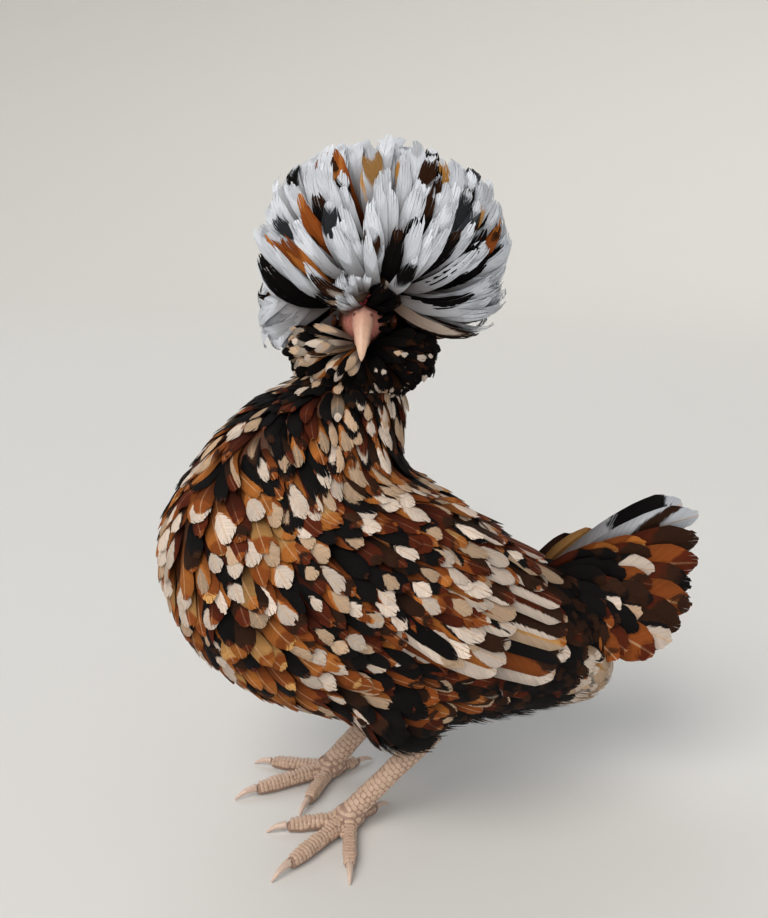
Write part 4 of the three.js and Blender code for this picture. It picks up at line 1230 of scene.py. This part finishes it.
# Leg skin and scutes: horny, satin, pinkish grey, paler on the plates and darker in the creases
legSkin, tree, shader = newMaterial("legSkin", Roughness=0.5, Specular_IOR_Level=0.4)
scute, scuteTree, scuteShader = newMaterial("legScute", Roughness=0.4, Specular_IOR_Level=0.45)
for t, s, low, high in ((tree, shader, "8A6F60", "AE8E7C"), (scuteTree, scuteShader, "B4967F", "D6B8A2")):
    mottle = addNode(t, "TexNoise", Vector=addNode(t, "TexCoord").outputs["Object"], Scale=240.0,
                     Detail=4.0).outputs["Fac"]
    t.links.new(addNode(t, "Mix", {"data_type": "RGBA"}, i0=mottle, i6=(*linear(low), 1),
                        i7=(*linear(high), 1)).outputs[2], s.inputs["Base Color"])
    t.links.new(addNode(t, "Bump", Strength=0.2, Distance=0.0002, Height=mottle).outputs["Normal"],
                s.inputs["Normal"])


def scuteNodes():
    # Each point carries its plate's size, the way it faces and the way it heads
    group = bpy.data.node_groups.new("scutesOnLimb", "GeometryNodeTree")
    for socketName, kind in (("Points", "NodeSocketGeometry"), ("Segments", "NodeSocketInt"),
                             ("Rings", "NodeSocketInt"), ("Unevenness", "NodeSocketFloat"),
                             ("Seed", "NodeSocketInt"),
                             ("Finish", "NodeSocketMaterial")):
        group.interface.new_socket(socketName, in_out="INPUT", socket_type=kind)
    group.interface.new_socket("Plates", in_out="OUTPUT", socket_type="NodeSocketGeometry")
    given = group.nodes.new("NodeGroupInput").outputs
    stored = [
        addNode(group, "GeometryNodeInputNamedAttribute", {"data_type": "FLOAT_VECTOR"},
                Name=n).outputs["Attribute"]
        for n in ("plate", "facing", "heading")
    ]
    ball = addNode(group, "GeometryNodeMeshUVSphere", Segments=given["Segments"], Rings=given["Rings"],
                   Radius=1.0)
    faced = addNode(group, "FunctionNodeAlignRotationToVector", {"axis": "Z"}, Vector=stored[1])
    headed = addNode(group, "FunctionNodeAlignRotationToVector", {"axis": "Y", "pivot_axis": "Z"},
                     Rotation=faced.outputs[0], Vector=stored[2])
    least = addNode(group, "Math", {"operation": "SUBTRACT"}, i0=1.0, i1=given["Unevenness"]).outputs[0]
    most = addNode(group, "Math", {"operation": "ADD"}, i0=1.0, i1=given["Unevenness"]).outputs[0]
    varied = addNode(group, "FunctionNodeRandomValue", {"data_type": "FLOAT"}, i2=least, i3=most,
                     Seed=given["Seed"])
    size = addNode(group, "VectorMath", {"operation": "SCALE"}, i0=stored[0], Scale=varied.outputs[1])
    plates = addNode(group, "GeometryNodeInstanceOnPoints", Points=given["Points"],
                     Instance=ball.outputs["Mesh"], Rotation=headed.outputs[0], Scale=size.outputs[0])
    real = addNode(group, "GeometryNodeRealizeInstances", Geometry=plates.outputs[0])
    even = addNode(group, "GeometryNodeSetShadeSmooth", Geometry=real.outputs[0])
    finish = addNode(group, "GeometryNodeSetMaterial", Geometry=even.outputs[0], Material=given["Finish"])
    addNode(group, "NodeGroupOutput", Plates=finish.outputs[0])
    return group


scuteGroup = scuteNodes()


def footSpots(sideName, tree):
    # Points on the foot's own surface, in rows along the shank and each toe
    side = sides[sideName]
    ball, hock = [np.array(foot[key]) * (side, 1, 1) + (foot["shift"], 0, 0) for key in ("ball", "hock")]
    found = []

    def cast(centre, outward, heading, plate):
        start = place(centre + outward * 16)
        hit, normal, _, _ = tree.ray_cast(Vector(start), Vector(-outward), 22 * mm)
        if hit is not None:
            found.append((np.array(hit) - np.array(normal) * plate[2] * 0.55 * mm, np.array(plate) * mm,
                          np.array(normal), heading))

    down = ball - hock
    length = np.linalg.norm(down)
    down = down / length
    front = unit(np.cross(np.array([1, 0, 0]), down))
    front = front * np.sign(front[2])
    aside = np.cross(down, front)
    rows = int(length / foot["shankPitch"])
    for r in range(rows):
        for c in range(9):
            angle = (c - 4 + 0.5 * (r % 2)) * math.radians(38)
            outward = front * math.cos(angle) + aside * math.sin(angle)
            bigger = 1 + 0.45 * max(math.cos(angle), 0)
            cast(hock + down * (r + 0.5) * foot["shankPitch"], outward, down, (1.7 * bigger, 1.6, 0.42))
    for toeLength, toeTurn in foot["toes"].values():
        turn = math.radians(side * (foot["turn"][sideName] + toeTurn))
        ahead = np.array([math.sin(turn), -math.cos(turn), 0])
        aside = np.array([math.cos(turn), math.sin(turn), 0])
        for r in range(int((toeLength - 5) / foot["toePitch"])):
            centre = ball * (1, 1, 0) + ahead * (6 + r * foot["toePitch"]) + np.array([0, 0, 4.2])
            for angle, wide in ((0, 3.0), (52, 1.7), (-52, 1.7), (88, 1.4), (-88, 1.4)):
                lean = math.radians(angle)
                outward = np.array([0, 0, 1]) * math.cos(lean) + aside * math.sin(lean)
                cast(centre, outward, ahead, (wide, 1.35, 0.38))
    return [np.array(column) for column in zip(*found)]


for sideName in sides:
    toeNames = [f"{sideName}_{toe}_toe" for toe in foot["toes"]]
    limb = wholeSkin([sideName + "_shank"] + toeNames, voxel=0.9 * mm, evening=5, swell=0.45 * mm)
    spots, plate, facing, heading = footSpots(sideName, treeOf(limb))
    mesh = bpy.data.meshes.new("scuteSpots")
    mesh.from_pydata(spots.tolist(), [], [])
    for label, values in (("plate", plate), ("facing", facing), ("heading", heading)):
        mesh.attributes.new(label, "FLOAT_VECTOR", "POINT").data.foreach_set("vector", values.reshape(-1))
    holder = linked("scuteSpots", mesh)
    plates = holder.modifiers.new("Scutes", "NODES")
    plates.node_group = scuteGroup
    inputs = {
        item.name: item.identifier
        for item in scuteGroup.interface.items_tree if item.in_out == "INPUT"
    }
    for socketName, value in (("Segments", 8), ("Rings", 6), ("Unevenness", foot["unevenness"]), ("Seed", 4),
                              ("Finish", scute)):
        plates[inputs[socketName]] = value
    scutes = evaluated(holder)
    whole = bmesh.new()
    whole.from_mesh(limb)
    plain = len(whole.faces)
    whole.from_mesh(scutes)
    whole.faces.ensure_lookup_table()
    for face in whole.faces[plain:]:
        face.material_index = 1
    mesh = meshFrom(sideName + "Foot", whole)
    mesh.materials.append(legSkin)
    mesh.materials.append(scute)
    finished(linked(sideName + "Foot", mesh), "leg_scales", sideName + "_shank", *toeNames)
    print(sideName, "foot,", len(spots), "scutes,", len(mesh.polygons), "faces")

# Claw horn: cream and satin, pink where it leaves the toe
clawHorn, tree, shader = newMaterial("clawHorn", Roughness=0.32, Specular_IOR_Level=0.5)
spot = addNode(tree, "TexCoord").outputs["Object"]
growth = addNode(tree, "TexNoise", Vector=spot, Scale=500.0, Detail=3.0).outputs["Fac"]
tree.links.new(addNode(tree, "Mix", {"data_type": "RGBA"}, i0=growth, i6=(*linear("C4A193"), 1),
                       i7=(*linear("DCC9B6"), 1)).outputs[2], shader.inputs["Base Color"])
for sideName in sides:
    clawNames = [f"{sideName}_{toe}_claw" for toe in foot["toes"]]
    finished(asObject(sideName + "Claws", rounded(clawNames, 2, 0.1 * mm), clawHorn), "claw_horn", *clawNames)
print("feet")

# Floor, light and camera: the floor curves up far away, so that no edge shows
floorMaterial, tree, shader = newMaterial("paleMattFloor", Roughness=0.8, Base_Color=(*linear("DEDDDA"), 1))
cove = {"flat": 4.0, "rise": 2.6, "rings": 12, "around": 72}
bend = np.linspace(0, math.pi / 2, cove["rings"])
reach = np.append(cove["flat"] * np.array([0.02, 0.2, 0.6]), cove["flat"] + cove["rise"] * np.sin(bend))
height = np.append(np.zeros(3), cove["rise"] * (1 - np.cos(bend)))
turn = np.linspace(0, 2 * math.pi, cove["around"], endpoint=False)
points = np.stack([
    reach[:, None] * np.cos(turn), reach[:, None] * np.sin(turn), height[:, None] + 0 * turn,
], -1)
faces = [face[::-1] for face in ringFaces(len(reach), cove["around"])]
floorMesh = bpy.data.meshes.new("floor")
floorMesh.from_pydata(points.reshape(-1, 3).tolist(), [], faces + [tuple(range(cove["around"]))])
shadeSmooth(floorMesh)
asObject("floor", floorMesh, floorMaterial)

# Wide, far lamps light the floor as evenly as the hen; a near panel gives the eyes a highlight
studio = {
    "key": {"kind": "SUN", "at": (1.0, -1.4, 2.1), "wide": math.radians(40),
            "power": 1.8, "colour": "FFFAF2"},
    "rim": {"kind": "SUN", "at": (-1.3, -0.2, 1.6), "wide": math.radians(40),
            "power": 0.5, "colour": "EEF4FF"},
    "panel": {"kind": "AREA", "at": (1.3, -0.6, 0.9), "wide": 0.5, "power": 5, "colour": "FFFFFF"},
}
for name, lamp in studio.items():
    data = bpy.data.lights.new(name, lamp["kind"])
    setattr(data, "angle" if lamp["kind"] == "SUN" else "size", lamp["wide"])
    data.energy = lamp["power"]
    data.color = linear(lamp["colour"])
    light = linked(name, data)
    light.location = lamp["at"]
    light.rotation_euler = (Vector((0, 0, 0.18)) - light.location).to_track_quat("-Z", "Y").to_euler()
sky = bpy.data.worlds.new("softSurround")
sky.use_nodes = True
sky.node_tree.nodes["Background"].inputs["Color"].default_value = (*linear("E9EAEC"), 1)
sky.node_tree.nodes["Background"].inputs["Strength"].default_value = 0.42
bpy.context.scene.world = sky
bpy.context.scene.view_settings.view_transform = "Standard"
bpy.context.scene.view_settings.exposure = 0

# The camera stands at her left, a little ahead, and looks down on her
view = {"azimuth": 75, "at": (446.6, -99.0, 296.0), "down": 12.4, "roll": 1.9,
        "focalPixels": 900, "longSide": 918}
a, down, roll = [math.radians(view[key]) for key in ("azimuth", "down", "roll")]
level = Vector((-math.sin(a), math.cos(a), 0))
right = Vector((math.cos(a), math.sin(a), 0))
forward = level * math.cos(down) - Vector((0, 0, math.sin(down)))
up = level * math.sin(down) + Vector((0, 0, math.cos(down)))
rolledRight = right * math.cos(roll) + up * math.sin(roll)
rolledUp = up * math.cos(roll) - right * math.sin(roll)
lens = bpy.data.cameras.new("camera")
lens.sensor_width = 36
lens.lens = lens.sensor_width * view["focalPixels"] / view["longSide"]
lens.clip_start = 0.01
camera = linked("camera", lens)
turned = Matrix((rolledRight, rolledUp, -forward)).transposed().to_4x4()
camera.matrix_world = Matrix.Translation(place(view["at"])) @ turned
bpy.context.scene.camera = camera
